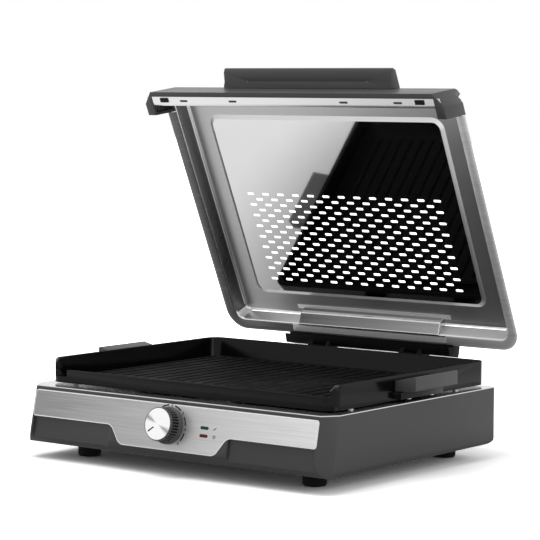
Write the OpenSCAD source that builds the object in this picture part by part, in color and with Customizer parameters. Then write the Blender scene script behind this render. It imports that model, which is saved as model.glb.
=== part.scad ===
// Electric indoor grill with a hinged steel lid. Millimetres, Z up, front towards -Y.
// The lid stands open at its rest angle. The feet stand on Z = 0, and the box of the whole
// part is centred on X and Y.

/* [Base] */
// Width of the base across its sides
base_w = 400; // [385:5:430]
// Depth of the base at its top edge
base_d = 302; // [298:1:330]
// Height of the housing's top edge above the table
base_top = 76.5; // [74:0.5:84]
// Height of the housing's bottom edge above the table
base_bottom = 16; // [14:0.5:18]
// Thickness of the housing's walls
wall = 2.5; // [2:0.25:3]
// Forward lean of the front face going down, in degrees
front_lean = 12; // [9:1:14]
// Width of the cut front corners, seen from the front
corner_x = 12; // [8:1:14]
// Depth of the cut front corners, seen from the side
corner_y = 16; // [10:1:20]
// Radius of the upright back corners
back_r = 8; // [5:1:12]
// Radius of the lower back edge
back_low_r = 18; // [12:1:20]
// Radius of the lower front edge
front_low_r = 14; // [10:1:16]
// Radius of the lower side edges
side_low_r = 6; // [4:1:9]
// Depth of the two hollows below the control panel
hollow_d = 3.5; // [2:0.5:4.5]
// Thickness of the bottom cover
cover_t = 2; // [1.5:0.25:3]
// Radius of a foot
foot_r = 12.5; // [10:0.5:14]
// Distance of the feet from the middle, across
foot_x = 150; // [144:1:160]
// Distance of the front feet in front of the middle
foot_front = 109; // [100:1:115]
// Distance of the back feet behind the middle
foot_back = 125; // [115:1:127]

/* [Control panel] */
// Half of the panel's width
panel_hw = 187.3; // [180:0.1:187.5]
// Distance of the panel's upper edge below the housing's top, along the face
panel_top = 3.3; // [2.5:0.1:5]
// Height of the panel beside its middle tab
panel_h = 28.4; // [24:0.2:29]
// Drop of the middle tab below the panel
tab_h = 19.3; // [16:0.1:20]
// Half of the middle tab's width at its root
tab_hw = 77; // [72:1:90]
// Half of the middle tab's width at its lower edge
tab_low_hw = 63; // [55:1:66]
// Thickness of the panel's sheet
panel_t = 1.2; // [0.8:0.1:1.6]
// Height of the panel's face above the housing's face
panel_proud = 0.3; // [0.1:0.1:0.6]
// Distance of the knob's axis below the housing's top, along the face
knob_drop = 25.6; // [24:0.1:27]
// Radius of the knob's grip
knob_r = 17.6; // [16.5:0.1:19]
// Distance of the knob's end from the housing's face
knob_l = 18; // [15:0.5:20]
// Number of flutes round the knob
flute_n = 30; // [18:2:36]
// Radius of the thermostat's shaft
shaft_r = 3; // [2.5:0.25:3.25]
// Distance of the lamps beside the knob's axis
lamp_x = 47; // [42:0.5:52]
// Height of the upper lamp above the knob's axis
lamp_rise = 1.9; // [1:0.1:4]
// Distance from the upper lamp to the lower lamp
lamp_pitch = 8; // [7:0.5:10]
// Length of a lamp's lens
lamp_l = 10.5; // [8:0.5:12]
// Height of a lamp's lens
lamp_h = 3; // [2.5:0.25:4]

/* [Grill plate] */
// Outer width of the grill plate
plate_w = 375; // [366:1:376]
// Setback of the plate's front from the base's front edge
plate_front = 20; // [19:0.5:21]
// Setback of the plate's back from the base's back
plate_back = 1; // [0.5:0.5:4]
// Height of the plate's walls above the housing's top
plate_rise = 28; // [26:0.5:28.5]
// Height of the plate's front curb above the housing's top
curb_rise = 16.5; // [14:0.5:18]
// Height of the plate's underside above the housing's top
plate_under = 2.8; // [2.5:0.1:3.2]
// Thickness of the plate's walls
plate_wall = 5.5; // [4.5:0.5:7]
// Thickness of the plate under its gutter
gutter_t = 3.2; // [2.8:0.1:4.5]
// Height of the cooking surface above the gutter
surface_h = 5; // [4:0.5:6]
// Width of the gutter at the sides
gutter_x = 25; // [20:0.5:30]
// Width of the gutter at the front
gutter_front = 26; // [20:0.5:30]
// Width of the gutter at the back
gutter_back = 27; // [20:0.5:34]
// Radius of the plate's upright corners
plate_r = 14; // [10:1:16]
// Radius of the side walls' front ends
wall_end_r = 15; // [10:1:18]
// Number of grooves
groove_n = 20; // [12:1:20]
// Distance from groove to groove
groove_pitch = 15.7; // [12:0.1:15.9]
// Width of a groove
groove_w = 5; // [4:0.5:7]
// Depth of a groove
groove_d = 3; // [2:0.25:3.5]
// Distance of the grooves' ends from the cooking surface's edge
groove_end = 7.5; // [5:0.5:12]
// Width of the pouring notch at the front left corner
notch_w = 19; // [14:1:24]
// Height of the notch's floor above the gutter
notch_h = 3; // [1:0.5:5]
// Length of a plate handle
grip_l = 77; // [60:1:90]
// Reach of a plate handle from the plate's wall
grip_out = 25.5; // [22:0.5:30]
// Distance of the plate handles behind the middle of the base
grip_y = 14.5; // [5:0.5:20]

/* [Lid] */
// Angle of the resting lid above its closed place, in degrees
lid_open = 65.2; // [60:0.1:68]
// Distance of the hinge axis behind the base
hinge_back = 33.4; // [33:0.1:35]
// Height of the hinge axis above the housing's top
hinge_rise = 10.9; // [10.5:0.1:12]
// Height of the lid's fold line above the hinge axis when closed
fold_rise = 23.6; // [23.4:0.1:25]
// Distance of the back fold line in front of the hinge axis
fold_back = 27.2; // [27:0.1:28]
// Half of the lid's width between its side fold lines
fold_hw = 188.2; // [188:0.1:189]
// Length of the lid from its back fold line to its front bend
lid_l = 284.8; // [284:0.1:286]
// Width of the sloping edge flange
flange_w = 12.3; // [11:0.1:12.5]
// Drop of the edge flange to its outer edge
flange_drop = 3.3; // [2.5:0.1:3.4]
// Depth of the lid inside, above its fold line
lid_depth = 17; // [15:0.5:19]
// Inward lean of the lid's wall over its depth
lid_draft = 4.4; // [3.5:0.1:5]
// Thickness of the lid's sheet
sheet_t = 0.8; // [0.6:0.1:1]
// Radius of the fold line round the back corners
fold_r = 12; // [10:0.5:16]
// Half of the middle panel's width
mid_hw = 158; // [155:0.5:162]
// Distance of the middle panel from the back fold line
mid_back = 30.1; // [28:0.1:32]
// Length of the middle panel
mid_l = 227.6; // [220:0.1:230]
// Radius of the middle panel's corners
mid_r = 13; // [10:1:16]
// Depth of the step round the middle panel
step_h = 2; // [1.2:0.1:2.5]
// Number of rows of vent slots
row_n = 17; // [9:2:17]
// Number of vent slots in the longer rows
slot_n = 13; // [7:1:13]
// Distance from slot to slot
slot_pitch = 21.25; // [18:0.25:21.5]
// Distance from row to row
row_pitch = 6.88; // [6:0.02:7]
// Distance of the first row from the back fold line
row_start = 49.7; // [45:0.1:54]
// Length of a vent slot
slot_l = 9.6; // [7:0.1:12]
// Width of a vent slot
slot_w = 3; // [2:0.1:3.5]
// Half of the pocket cover's width without its flanges
pocket_hw = 96; // [88:1:100]
// Reach of the cover's flanges beyond its ends
pocket_lap = 8.8; // [7:0.2:10]
// Width of the cover's flange on the lid's edge flange
pocket_low_w = 8.2; // [6:0.2:9]

/* [Lid front] */
// Depth of the front apron below the fold line
apron_drop = 32; // [30:0.5:32]
// Forward lean of the apron over its full height
apron_lean = 7.1; // [6:0.1:8]
// Width of the apron's lip
lip_w = 11.2; // [10.5:0.1:12]
// Distance of the inner lip slots from the middle
lip_slot_in = 74.6; // [65:0.1:85]
// Distance of the outer lip slots from the middle
lip_slot_out = 143.8; // [130:0.1:150]
// Distance of the bumpers inside the lid's side fold lines
bumper_in = 16.8; // [14:0.1:22]
// Reach of the trim beyond the lid's side fold lines
trim_side = 11.8; // [11.5:0.1:13]
// Thickness of the plastic trim
trim_t = 3; // [2.5:0.25:3.5]
// Depth of the trim's lower edge, front to back
trim_edge = 6; // [5:0.25:7]
// Backward lean of the trim's face going up, in degrees
trim_lean = 17.5; // [15:0.5:19]
// Height of the trim's face above the fold line
trim_rise = 10; // [9:0.5:11]
// Width of the trim's cut corners
trim_cut_x = 11.5; // [9:0.5:11.5]
// Depth of the trim's cut corners, front to back
trim_cut_y = 14.6; // [10:0.2:16]
// Length of the trim's side returns at their lower edge
trim_return = 14; // [10:0.5:16]
// Width of the lid handle
handle_w = 225.4; // [190:0.2:240]
// Reach of the lid handle beyond the trim's upper edge
handle_out = 21; // [19:0.5:24]
// Thickness of the lid handle at its root
handle_t = 12; // [11:0.5:13]

/* [Hinge] */
// Half of the hinge bar's width
bar_hw = 113; // [105:1:120]
// Distance of each hinge from the middle
lug_x = 63; // [58:0.5:72]
// Width of a lug
lug_w = 16; // [13:0.5:18]
// Radius of a lug's eye
lug_r = 13.4; // [11:0.1:13.5]
// Radius of a hinge pin
pin_r = 3; // [2.5:0.25:3.5]
// Thickness of a cheek on the hinge bar
cheek_t = 5; // [4:0.5:7]
// Radius of a cheek's eye
cheek_r = 9; // [8:0.5:10]
// Thickness of a hinge washer
washer_t = 1; // [0.6:0.1:1.4]

/* [Inside] */
// Half of the tray pan's width
pan_hw = 168; // [160:1:169]
// Distance of the pan's front behind the base's front edge
pan_front = 36; // [35:1:38]
// Distance of the pan's back from the base's back
pan_back = 13; // [13:1:18]
// Depth of the pan below the housing's top
pan_depth = 30; // [26:1:32]
// Thickness of the tray's sheet
tray_t = 1; // [0.8:0.1:1.2]
// Radius of the heating tube
tube_r = 4; // [3.25:0.25:4.5]
// Radius of the heating tube's bends, along its middle line
bend_r = 43; // [38:0.5:46]
// Distance of the heating tube's middle below the housing's top
tube_drop = 11; // [9:0.5:13]
// Radius of a wire
wire_r = 1.2; // [0.8:0.1:1.5]

/* [Hidden] */
$fn = 48;
// Clearances: a seat between fixed pieces, a running fit, the play beside a hinge washer,
// the gap between moving pieces, and the overlap of lumps of one solid
seat = 0.3;
run = 0.08;
play = 0.15;
gap = 0.5;
weld = 1;
// Reach of a cut through everything
far = 600;
// Screws
screw_r = 1.7;
screw_hole = screw_r + 0.1;
head_r = 3.2;
head_h = 2;
screw_l = 12;
low_head_h = 1.2;
boss_r = 4.5;
boss_l = 9;
foot_stem_r = 3.5;
gland_r = 6;
bulb_r = 2.6;
bulb_l = 55;
bulb_x = 2 * bend_r;
earth_place = [-70, -70];
block = [44, 16, 13];
bumper_stem_r = 1.3;

bx = base_w / 2;
by = base_d / 2;
lean_t = tan(front_lean);
front_in = hollow_d + wall;
corner_az = atan2(-corner_x, corner_y);
corner_tilt = atan(lean_t * corner_x / norm([corner_x, corner_y]));
floor_z = base_bottom + wall;
edge_in = 0.6;
rim_top = base_top + tray_t;

// Bottom cover, kept clear of the feet
cover_hw = foot_x - foot_r - 3;
cover_front = -by + 30;
cover_back = by - 30;
cover_lap = 12;
cover_screw_in = 6;
block_y = cover_back - cover_lap + 3;

// Plate
plate_hw = plate_w / 2;
plate_y0 = -by + plate_front;
plate_y1 = by - plate_back;
plate_z0 = base_top + plate_under;
gutter_z = plate_z0 + gutter_t;
surface_z = gutter_z + surface_h;
plate_z1 = base_top + plate_rise;
curb_z = base_top + curb_rise;
surface_hw = plate_hw - plate_wall - gutter_x;
surface_y0 = plate_y0 + plate_wall + gutter_front;
surface_y1 = plate_y1 - plate_wall - gutter_back;
surface_r = 8;
pad_x = lug_x;
pad_l = 9;
ear_z0 = plate_z0 + 1.7;
ear_z1 = ear_z0 + 7.3;
ear_out = 9;
grip_screw_x = plate_hw + ear_out / 2;
grip_screw_in = 18;

// Tray and what it carries
pan_y0 = -by + pan_front;
pan_y1 = by - pan_back;
pan_z0 = base_top - pan_depth;
pan_r = 12;
post_x = (pan_hw + tray_t + bx - wall) / 2;
post_y = 95;
tube_z = base_top - tube_drop;
tube_back = pan_y1 - 24 - bend_r;
tube_front = pan_y0 + 24 + bend_r;
tube_end = pan_y0 - 12;
support_y = [tube_front + 8, tube_back - 9];
support_t = 2;

// Panel and knob, in the frame of the leaning front
panel_back = panel_proud - panel_t;
tab_bottom = -panel_top - panel_h - tab_h;
cap_r = knob_r - 1.2;
cap_t = 0.8;
skirt_t = 2.4;
skirt_out = 1.2;
knob_in = panel_proud + gap;
knob_wall = 3;
hub_r = 6;
bush_r = 5;
bush_top = panel_proud + 1.8;
shaft_top = knob_l - 4;
body_w = 34;
body_h = 26;
body_d = 20;
mount_screw_x = 10;
lamp_y = -knob_drop + lamp_rise;
lamp_face = panel_proud + 0.5;
holder_d = 14;

// Hinge and lid frame: its origin lies on the back fold line
hinge_y = by + hinge_back;
hinge_z = base_top + hinge_rise;
draft_a = atan(lid_draft / lid_depth);
flange_a = atan(flange_drop / flange_w);
apron_bottom = -lid_l - apron_lean;
lip_front = apron_bottom - lip_w;
trim_hw = fold_hw + trim_side;
bumper_x = fold_hw - bumper_in;
// The flange stops short of the trim's side returns
trim_z0 = -apron_drop - 0.7;
trim_y0 = lip_front - trim_edge;
trim_top_y = trim_y0 + (trim_rise - trim_z0) * tan(trim_lean);
trim_side_back = trim_y0 + trim_cut_y + trim_return;
trim_az = atan2(-trim_cut_x, trim_cut_y);
trim_tilt = atan(tan(trim_lean) * trim_cut_x / norm([trim_cut_x, trim_cut_y]));
side_top = 2;
side_top_back = trim_side_back + (side_top - trim_z0) * tan(trim_lean);
flange_end = side_top_back + seat;
shell_hw = fold_hw + sheet_t + seat;
handle_z0 = trim_rise - 2.4;
handle_screw_x = handle_w / 2 - 32;
handle_screw_y = (trim_rise - 2.8 - trim_z0) / cos(trim_lean);
handle_screw_l = 8;
bumper_h = 1;
hook_l = 10;
hook_t = 1.9;
slot_y = lip_front + lip_w * 0.45;

// Hinge bar: corners of its section behind the lid's back edge
bar_front = [7.9, -10.2];
bar_low = [18.9, -12.3];
bar_back = [29.4, 2.8];
bar_top = [20.6, 9.7];
bar_screw_z = 7;
bar_screw_x = 0.7 * pocket_hw;
bar_screw_l = 11;
lug_face = lug_w / 2;
washer_x = lug_face + play;
cheek_x = washer_x + washer_t + play;
pin_hl = cheek_x + cheek_t + gap;
pin_head_t = 1.5;
bracket_t = 3;
bracket_hw = 18;
bracket_z0 = base_bottom + back_low_r + 4;
bracket_z1 = base_top - 3;
bracket_screw_x = 13;
bracket_screw_z = (bracket_z0 + bracket_z1) / 2;

// Box of the resting part along Y, from the knob's cap to the hinge bar
rest_front = -by - (knob_drop + cap_r) * sin(front_lean) - knob_l * cos(front_lean);
rest_back = hinge_y + (bar_top[0] - fold_back) * cos(lid_open) + (fold_rise + bar_top[1]) * sin(lid_open);
mid_y = (rest_front + rest_back) / 2;

// Frames

module place() {
    translate([0, -mid_y, 0]) children();
}

// Frame on the front's upper edge: Y runs up the face and Z points out of it
module on_front() {
    place() translate([0, -by, base_top]) rotate([90 - front_lean, 0, 0]) children();
}

module on_knob() {
    on_front() translate([0, -knob_drop, 0]) children();
}

module on_lid() {
    place() translate([0, hinge_y, hinge_z]) rotate([-lid_open, 0, 0])
        translate([0, -fold_back, fold_rise]) children();
}

// Helpers

module both_sides() {
    children();
    mirror([1, 0, 0]) children();
}

// Extrudes a drawing of the YZ plane across the whole width 2 * hw
module across(hw) {
    rotate([90, 0, 90]) translate([0, 0, -hw]) linear_extrude(2 * hw) children();
}

module rounded(x0, y0, x1, y1, r) {
    translate([x0 + r, y0]) square([x1 - x0 - 2 * r, y1 - y0]);
    translate([x0, y0 + r]) square([x1 - x0, y1 - y0 - 2 * r]);
    for (x = [x0 + r, x1 - r], y = [y0 + r, y1 - r]) translate([x, y]) circle(r);
}

// Slot with round ends, its length along X
module slot(l, w) {
    square([l - w, w], center = true);
    for (s = [-1, 1]) translate([s * (l - w) / 2, 0]) circle(w / 2);
}

// Screw with its head's seat at Z = 0 and its shank down to -l
module screw(l, h) {
    cylinder(r = head_r, h = h);
    translate([0, 0, -l]) cylinder(r = screw_r, h = l + h / 2);
}

// Straight wire runs through the points, joined by ball corners
module wire(points, r) {
    for (i = [0 : len(points) - 2]) {
        d = points[i + 1] - points[i];
        translate(points[i]) rotate([0, acos(d[2] / norm(d)), atan2(d[1], d[0])])
            cylinder(r = r, h = norm(d));
        if (i > 0) translate(points[i]) sphere(r);
    }
}

// Base

function front_y(z) = -by - lean_t * (base_top - z);

// Section of the base from the side, f inside its front and w inside its other faces
module base_section(f, w, top) {
    rf = front_low_r - f;
    rb = back_low_r - w;
    z0 = base_bottom + w;
    cf = [front_y(z0 + rf) + (f + rf) / cos(front_lean), z0 + rf];
    cb = [by - w - rb, z0 + rb];
    polygon([
        [front_y(top) + f / cos(front_lean), top],
        cf + rf * [-cos(front_lean), sin(front_lean)],
        [cf[0], z0], [cb[0], z0], [by - w, cb[1]], [by - w, top]
    ]);
    translate(cf) circle(rf);
    translate(cb) circle(rb);
}

// What lies outside the cut front corners, moved inwards by w
module outside_corners(w) {
    both_sides() translate([bx, corner_y - by, base_top]) rotate([0, 0, corner_az])
        rotate([0, -corner_tilt, 0]) translate([-w, -far, -far]) cube(2 * far);
}

module base_body(f, w, top) {
    difference() {
        intersection() {
            across(bx) base_section(f, w, top);
            translate([0, far / 2, 0]) rotate([90, 0, 0]) linear_extrude(far)
                rounded(w - bx, base_bottom + w, bx - w, far, side_low_r - w / 2);
            linear_extrude(far) rounded(w - bx, -far / 2, bx - w, by - w, back_r - w);
        }
        outside_corners(w);
    }
}

module panel_outline(grow) {
    offset(r = 3) offset(r = -6) offset(r = 3 + grow) polygon([
        [-panel_hw, -panel_top], [panel_hw, -panel_top],
        [panel_hw, -panel_top - panel_h], [tab_hw, -panel_top - panel_h],
        [tab_low_hw, tab_bottom], [-tab_low_hw, tab_bottom],
        [-tab_hw, -panel_top - panel_h], [-panel_hw, -panel_top - panel_h]
    ]);
}

// Hollows beside the panel's tab
module front_hollows() {
    both_sides() translate([tab_hw + 1.5, tab_bottom - far / 4, -hollow_d])
        cube([panel_hw - tab_hw - 3, tab_h + far / 4 - 0.8, far / 4]);
}

module lamp_place() {
    for (i = [0, 1]) translate([lamp_x, lamp_y - i * lamp_pitch, 0]) children();
}

// Openings for the bush, its screws and the lamps, through the front wall and the panel
module front_openings() {
    depth = front_in + 4;
    translate([0, -knob_drop, -depth]) {
        cylinder(r = bush_r + seat, h = 2 * depth);
        for (s = [-1, 1]) translate([s * mount_screw_x, 0, 0]) cylinder(r = screw_hole, h = 2 * depth);
    }
    translate([0, 0, -depth]) lamp_place() linear_extrude(2 * depth) slot(lamp_l + seat, lamp_h + seat);
}

module foot_place() {
    for (s = [-1, 1], y = [-foot_front, foot_back]) translate([s * foot_x, y, 0]) children();
}

module cover_screw_place() {
    for (s = [-1, 1], y = [cover_front + cover_screw_in, 0, cover_back - cover_screw_in])
        translate([s * (cover_hw - cover_screw_in), y, 0]) children();
}

module post_place() {
    for (s = [-1, 1], y = [-post_y, post_y]) translate([s * post_x, y, 0]) children();
}

module bracket_screw_place() {
    for (s = [-1, 1], d = [-1, 1])
        translate([s * lug_x + d * bracket_screw_x, by, bracket_screw_z]) rotate([-90, 0, 0]) children();
}

module gland_place() {
    translate([0, by, pan_z0]) rotate([-90, 0, 0]) children();
}

module base_housing() {
    color("#4d4d4d") {
        difference() {
            place() difference() {
                union() {
                    difference() {
                        base_body(0, 0, base_top);
                        base_body(front_in, wall, base_top + far / 4);
                    }
                    cover_screw_place() translate([0, 0, base_bottom]) cylinder(r = boss_r, h = boss_l);
                    post_place() translate([0, 0, base_bottom + wall / 2])
                        cylinder(r = boss_r, h = base_top - base_bottom - wall / 2);
                    bracket_screw_place() translate([0, 0, -boss_l]) cylinder(r = boss_r, h = boss_l - wall / 2);
                }
                difference() {
                    translate([cover_lap - cover_hw, cover_front + cover_lap, 0])
                        cube([2 * (cover_hw - cover_lap), cover_back - cover_front - 2 * cover_lap, floor_z + 1]);
                    cover_screw_place() cylinder(r = boss_r, h = far);
                }
                cover_screw_place() cylinder(r = screw_hole, h = base_bottom + boss_l - 1);
                post_place() translate([0, 0, base_top - screw_l - 1]) cylinder(r = screw_hole, h = far);
                bracket_screw_place() translate([0, 0, -boss_l]) cylinder(r = screw_hole, h = boss_l + 1);
                foot_place() cylinder(r = foot_stem_r + seat, h = floor_z + 1);
                gland_place() translate([0, 0, -wall - 1]) cylinder(r = gland_r + seat, h = far / 4);
            }
            on_front() {
                translate([0, 0, panel_back]) linear_extrude(far / 8) panel_outline(0.2);
                front_hollows();
                front_openings();
            }
        }
    }
}

module bottom_cover() {
    color("#303030") place() difference() {
        translate([0, 0, base_bottom - cover_t])
            linear_extrude(cover_t) rounded(-cover_hw, cover_front, cover_hw, cover_back, 8);
        cover_screw_place() cylinder(r = screw_hole, h = base_bottom + 1);
    }
}

module bottom_screws() {
    color("#9a9a9a") place() cover_screw_place() translate([0, 0, base_bottom - cover_t])
        mirror([0, 0, 1]) screw(cover_t + boss_l - 3, head_h);
}

module feet() {
    color("#151515") place() foot_place() {
        cylinder(r = foot_r - 1, h = base_bottom - seat);
        translate([0, 0, 2]) cylinder(r = foot_r, h = base_bottom - seat - 2);
        cylinder(r = foot_stem_r, h = floor_z + 3);
        translate([0, 0, floor_z + seat]) cylinder(r = foot_stem_r + 1.5, h = 3 - seat);
    }
}

module control_panel() {
    color("#b8b8b8") on_front() difference() {
        translate([0, 0, panel_back]) linear_extrude(panel_t) panel_outline(0);
        front_openings();
    }
}

module lens(z1) {
    translate([0, 0, -front_in]) linear_extrude(front_in + z1) slot(lamp_l, lamp_h);
}

module lamp_lens_green() {
    color("#00502f") on_front() translate([lamp_x, lamp_y, 0]) lens(lamp_face);
}

module lamp_lens_red() {
    color("#70101c") on_front() translate([lamp_x, lamp_y - lamp_pitch, 0]) lens(lamp_face);
}

module lamp_holders() {
    holder = [lamp_l + 4, lamp_pitch - 1, holder_d];
    color("#e8e4d8") on_front() lamp_place()
        translate([-holder[0] / 2, -holder[1] / 2, -front_in - holder_d - seat]) cube(holder);
}

module thermostat_body() {
    color("#d8d0c0") on_knob() difference() {
        union() {
            translate([-body_w / 2, -body_h / 2, -front_in - seat - body_d]) cube([body_w, body_h, body_d]);
            translate([0, 0, -front_in - weld]) cylinder(r = bush_r, h = front_in + weld + bush_top);
        }
        translate([0, 0, -front_in - body_d / 2]) cylinder(r = shaft_r + run, h = far);
        for (s = [-1, 1]) translate([s * mount_screw_x, 0, -front_in - body_d / 2])
            cylinder(r = screw_hole, h = far);
    }
}

module thermostat_screws() {
    color("#9a9a9a") on_knob() for (s = [-1, 1]) translate([s * mount_screw_x, 0, panel_proud])
        screw(front_in + body_d / 2 - 2, head_h);
}

module thermostat_bulb() {
    top = -knob_drop + body_h / 2;
    mid = -front_in - body_d / 2;
    end_y = -by + top * sin(front_lean) - mid * cos(front_lean);
    end_z = base_top + top * cos(front_lean) + mid * sin(front_lean);
    color("#c08a50") place() {
        translate([bulb_x, pan_y0 - 3, tube_z]) rotate([-90, 0, 0]) cylinder(r = bulb_r, h = bulb_l);
        wire([[bulb_x, pan_y0, tube_z], [bulb_x, end_y, tube_z], [0, end_y, tube_z],
            [0, end_y, end_z + 0.6]], wire_r);
    }
}

module tray_rim(z0, h) {
    difference() {
        translate([0, 0, z0]) linear_extrude(h)
            rounded(edge_in - bx, edge_in - by, bx - edge_in, by - edge_in, back_r - edge_in);
        outside_corners(edge_in);
    }
}

module pan(w) {
    rounded(-pan_hw - w, pan_y0 - w, pan_hw + w, pan_y1 + w, pan_r + w);
}

module reflector_tray() {
    color("#c4c4c4") place() difference() {
        union() {
            tray_rim(base_top, tray_t);
            translate([0, 0, pan_z0 - tray_t]) linear_extrude(pan_depth + tray_t + tray_t / 2) pan(tray_t);
        }
        translate([0, 0, pan_z0]) linear_extrude(far) pan(0);
        post_place() translate([0, 0, base_top - 1]) cylinder(r = screw_hole, h = far);
        for (s = [-1, 1]) translate([s * 3 * bend_r, pan_y0 + 2, tube_z]) rotate([90, 0, 0])
            cylinder(r = tube_r + seat, h = 6);
        translate([bulb_x, pan_y0 + 2, tube_z]) rotate([90, 0, 0]) cylinder(r = bulb_r + seat, h = 6);
        translate([earth_place[0], earth_place[1], 0]) cylinder(r = screw_hole, h = far);
    }
}

module tray_screws() {
    color("#9a9a9a") place() post_place() translate([0, 0, rim_top]) screw(screw_l, low_head_h);
}

module heating_element() {
    color("#5a5450") place() translate([0, 0, tube_z]) {
        for (s = [-1, 1]) {
            translate([s * 3 * bend_r, tube_end, 0]) rotate([-90, 0, 0])
                cylinder(r = tube_r, h = tube_back - tube_end);
            translate([s * bend_r, tube_front, 0]) rotate([-90, 0, 0])
                cylinder(r = tube_r, h = tube_back - tube_front);
            translate([s * 2 * bend_r, tube_back, 0]) rotate_extrude(angle = 180)
                translate([bend_r, 0]) circle(tube_r);
            translate([s * 3 * bend_r, tube_end - 5, 0]) rotate([-90, 0, 0]) cylinder(r = 1.5, h = 6);
        }
        translate([0, tube_front, 0]) rotate([0, 0, 180]) rotate_extrude(angle = 180)
            translate([bend_r, 0]) circle(tube_r);
    }
}

module element_supports() {
    hw = 3 * bend_r + tube_r + 4;
    color("#b0b0b0") place() for (y = support_y) difference() {
        translate([-hw, y, pan_z0]) cube([2 * hw, support_t, tube_z - pan_z0 + tube_r]);
        for (x = [-3, -1, 1, 3]) {
            translate([x * bend_r, y - 1, tube_z]) rotate([-90, 0, 0])
                cylinder(r = tube_r + seat, h = support_t + 2);
            translate([x * bend_r - tube_r - seat, y - 1, tube_z])
                cube([2 * (tube_r + seat), support_t + 2, far]);
        }
    }
}

module terminal_block() {
    color("#e6e6e0") place() difference() {
        translate([-block[0] / 2, block_y, floor_z]) cube(block);
        for (x = [-14, 0, 14]) translate([x, block_y - 1, floor_z + 6]) rotate([-90, 0, 0])
            cylinder(r = 2.2, h = block[1] + 2);
    }
}

module inner_wires() {
    z0 = floor_z + 6;
    low = -knob_drop - body_h / 2;
    mid = -front_in - body_d / 2;
    body_y = -by + low * sin(front_lean) - mid * cos(front_lean);
    body_z = base_top + low * cos(front_lean) + mid * sin(front_lean);
    earth_x = earth_place[0] + 30;
    earth_z = pan_z0 - tray_t - 6;
    term_y = tube_end - 5 - seat - wire_r;
    color("#b03028") place() {
        wire([[0, block_y + 4, z0], [0, body_y, z0], [0, body_y, body_z - 0.8]], wire_r);
        wire([[14, block_y + 4, z0], [14, term_y, z0], [3 * bend_r, term_y, z0],
            [3 * bend_r, term_y, tube_z + wire_r]], wire_r);
        wire([[-14, block_y + 4, z0], [-14, earth_place[1], z0], [earth_x, earth_place[1], z0],
            [earth_x, earth_place[1], earth_z], [earth_place[0] + screw_r + seat, earth_place[1], earth_z]], wire_r);
    }
}

module earth_screw() {
    color("#c8b060") place() translate([earth_place[0], earth_place[1], pan_z0]) screw(screw_l, head_h);
}

module cord_gland() {
    color("#1c1c1c") place() gland_place() difference() {
        union() {
            cylinder(r = gland_r + 3, h = 3);
            translate([0, 0, -wall - 3]) cylinder(r = gland_r, h = wall + 4);
        }
        translate([0, 0, -wall - 4]) cylinder(r = gland_r - 2.5, h = far);
    }
}

// Hinge

module hinge_brackets() {
    color("#1a1a1a") place() both_sides() difference() {
        union() {
            translate([lug_x - bracket_hw, by, bracket_z0])
                cube([2 * bracket_hw, bracket_t, bracket_z1 - bracket_z0]);
            translate([lug_x, 0, 0]) across(lug_face) {
                polygon([[by + 1, bracket_z1], [hinge_y - 11, hinge_z + 5], [hinge_y + 5, hinge_z - 11],
                    [by + 1, bracket_z0]]);
                translate([hinge_y, hinge_z]) circle(lug_r);
            }
        }
        translate([lug_x - far / 2, hinge_y, hinge_z]) rotate([0, 90, 0]) cylinder(r = pin_r + run, h = far);
        for (d = [-1, 1]) translate([lug_x + d * bracket_screw_x, by, bracket_screw_z])
            rotate([-90, 0, 0]) cylinder(r = screw_hole, h = bracket_t + 1);
    }
}

module hinge_bracket_screws() {
    color("#9a9a9a") place() bracket_screw_place() translate([0, 0, bracket_t])
        screw(bracket_t + wall + 4, head_h);
}

module hinge_pins() {
    color("#a8a8a8") place() both_sides() translate([lug_x, hinge_y, hinge_z]) rotate([0, 90, 0]) {
        cylinder(r = pin_r, h = 2 * pin_hl, center = true);
        for (s = [-1, 1]) translate([0, 0, s * (pin_hl + pin_head_t / 2)])
            cylinder(r = pin_r + 1.5, h = pin_head_t, center = true);
    }
}

// Knob

module thermostat_shaft() {
    color("#a8a8a8") on_knob() translate([0, 0, -front_in - body_d / 2 + gap])
        cylinder(r = shaft_r, h = front_in + body_d / 2 - gap + shaft_top - seat);
}

module knob_body() {
    color("#3a3a3a") on_knob() difference() {
        union() {
            translate([0, 0, knob_in]) cylinder(r = knob_r, h = knob_l - knob_in);
            translate([0, 0, knob_in]) cylinder(r = knob_r + skirt_out, h = skirt_t);
        }
        difference() {
            translate([0, 0, -1]) cylinder(r = knob_r - knob_wall, h = shaft_top + 1);
            translate([0, 0, bush_top + gap]) cylinder(r = hub_r, h = knob_l);
        }
        cylinder(r = shaft_r + 0.05, h = shaft_top);
        translate([0, 0, knob_l - cap_t]) cylinder(r = cap_r + 0.1, h = 2);
        for (i = [0 : flute_n - 1]) rotate([0, 0, i * 360 / flute_n])
            translate([knob_r + 0.3, 0, knob_in + skirt_t + 1])
                cylinder(r = 1.1, h = knob_l - knob_in - skirt_t - 3);
    }
}

module knob_cap() {
    color("#f0f0f0") on_knob() translate([0, 0, knob_l - cap_t]) cylinder(r = cap_r, h = cap_t);
}

// Grill plate

module groove_place() {
    for (i = [0 : groove_n - 1]) translate([(i - (groove_n - 1) / 2) * groove_pitch, 0]) children();
}

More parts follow.
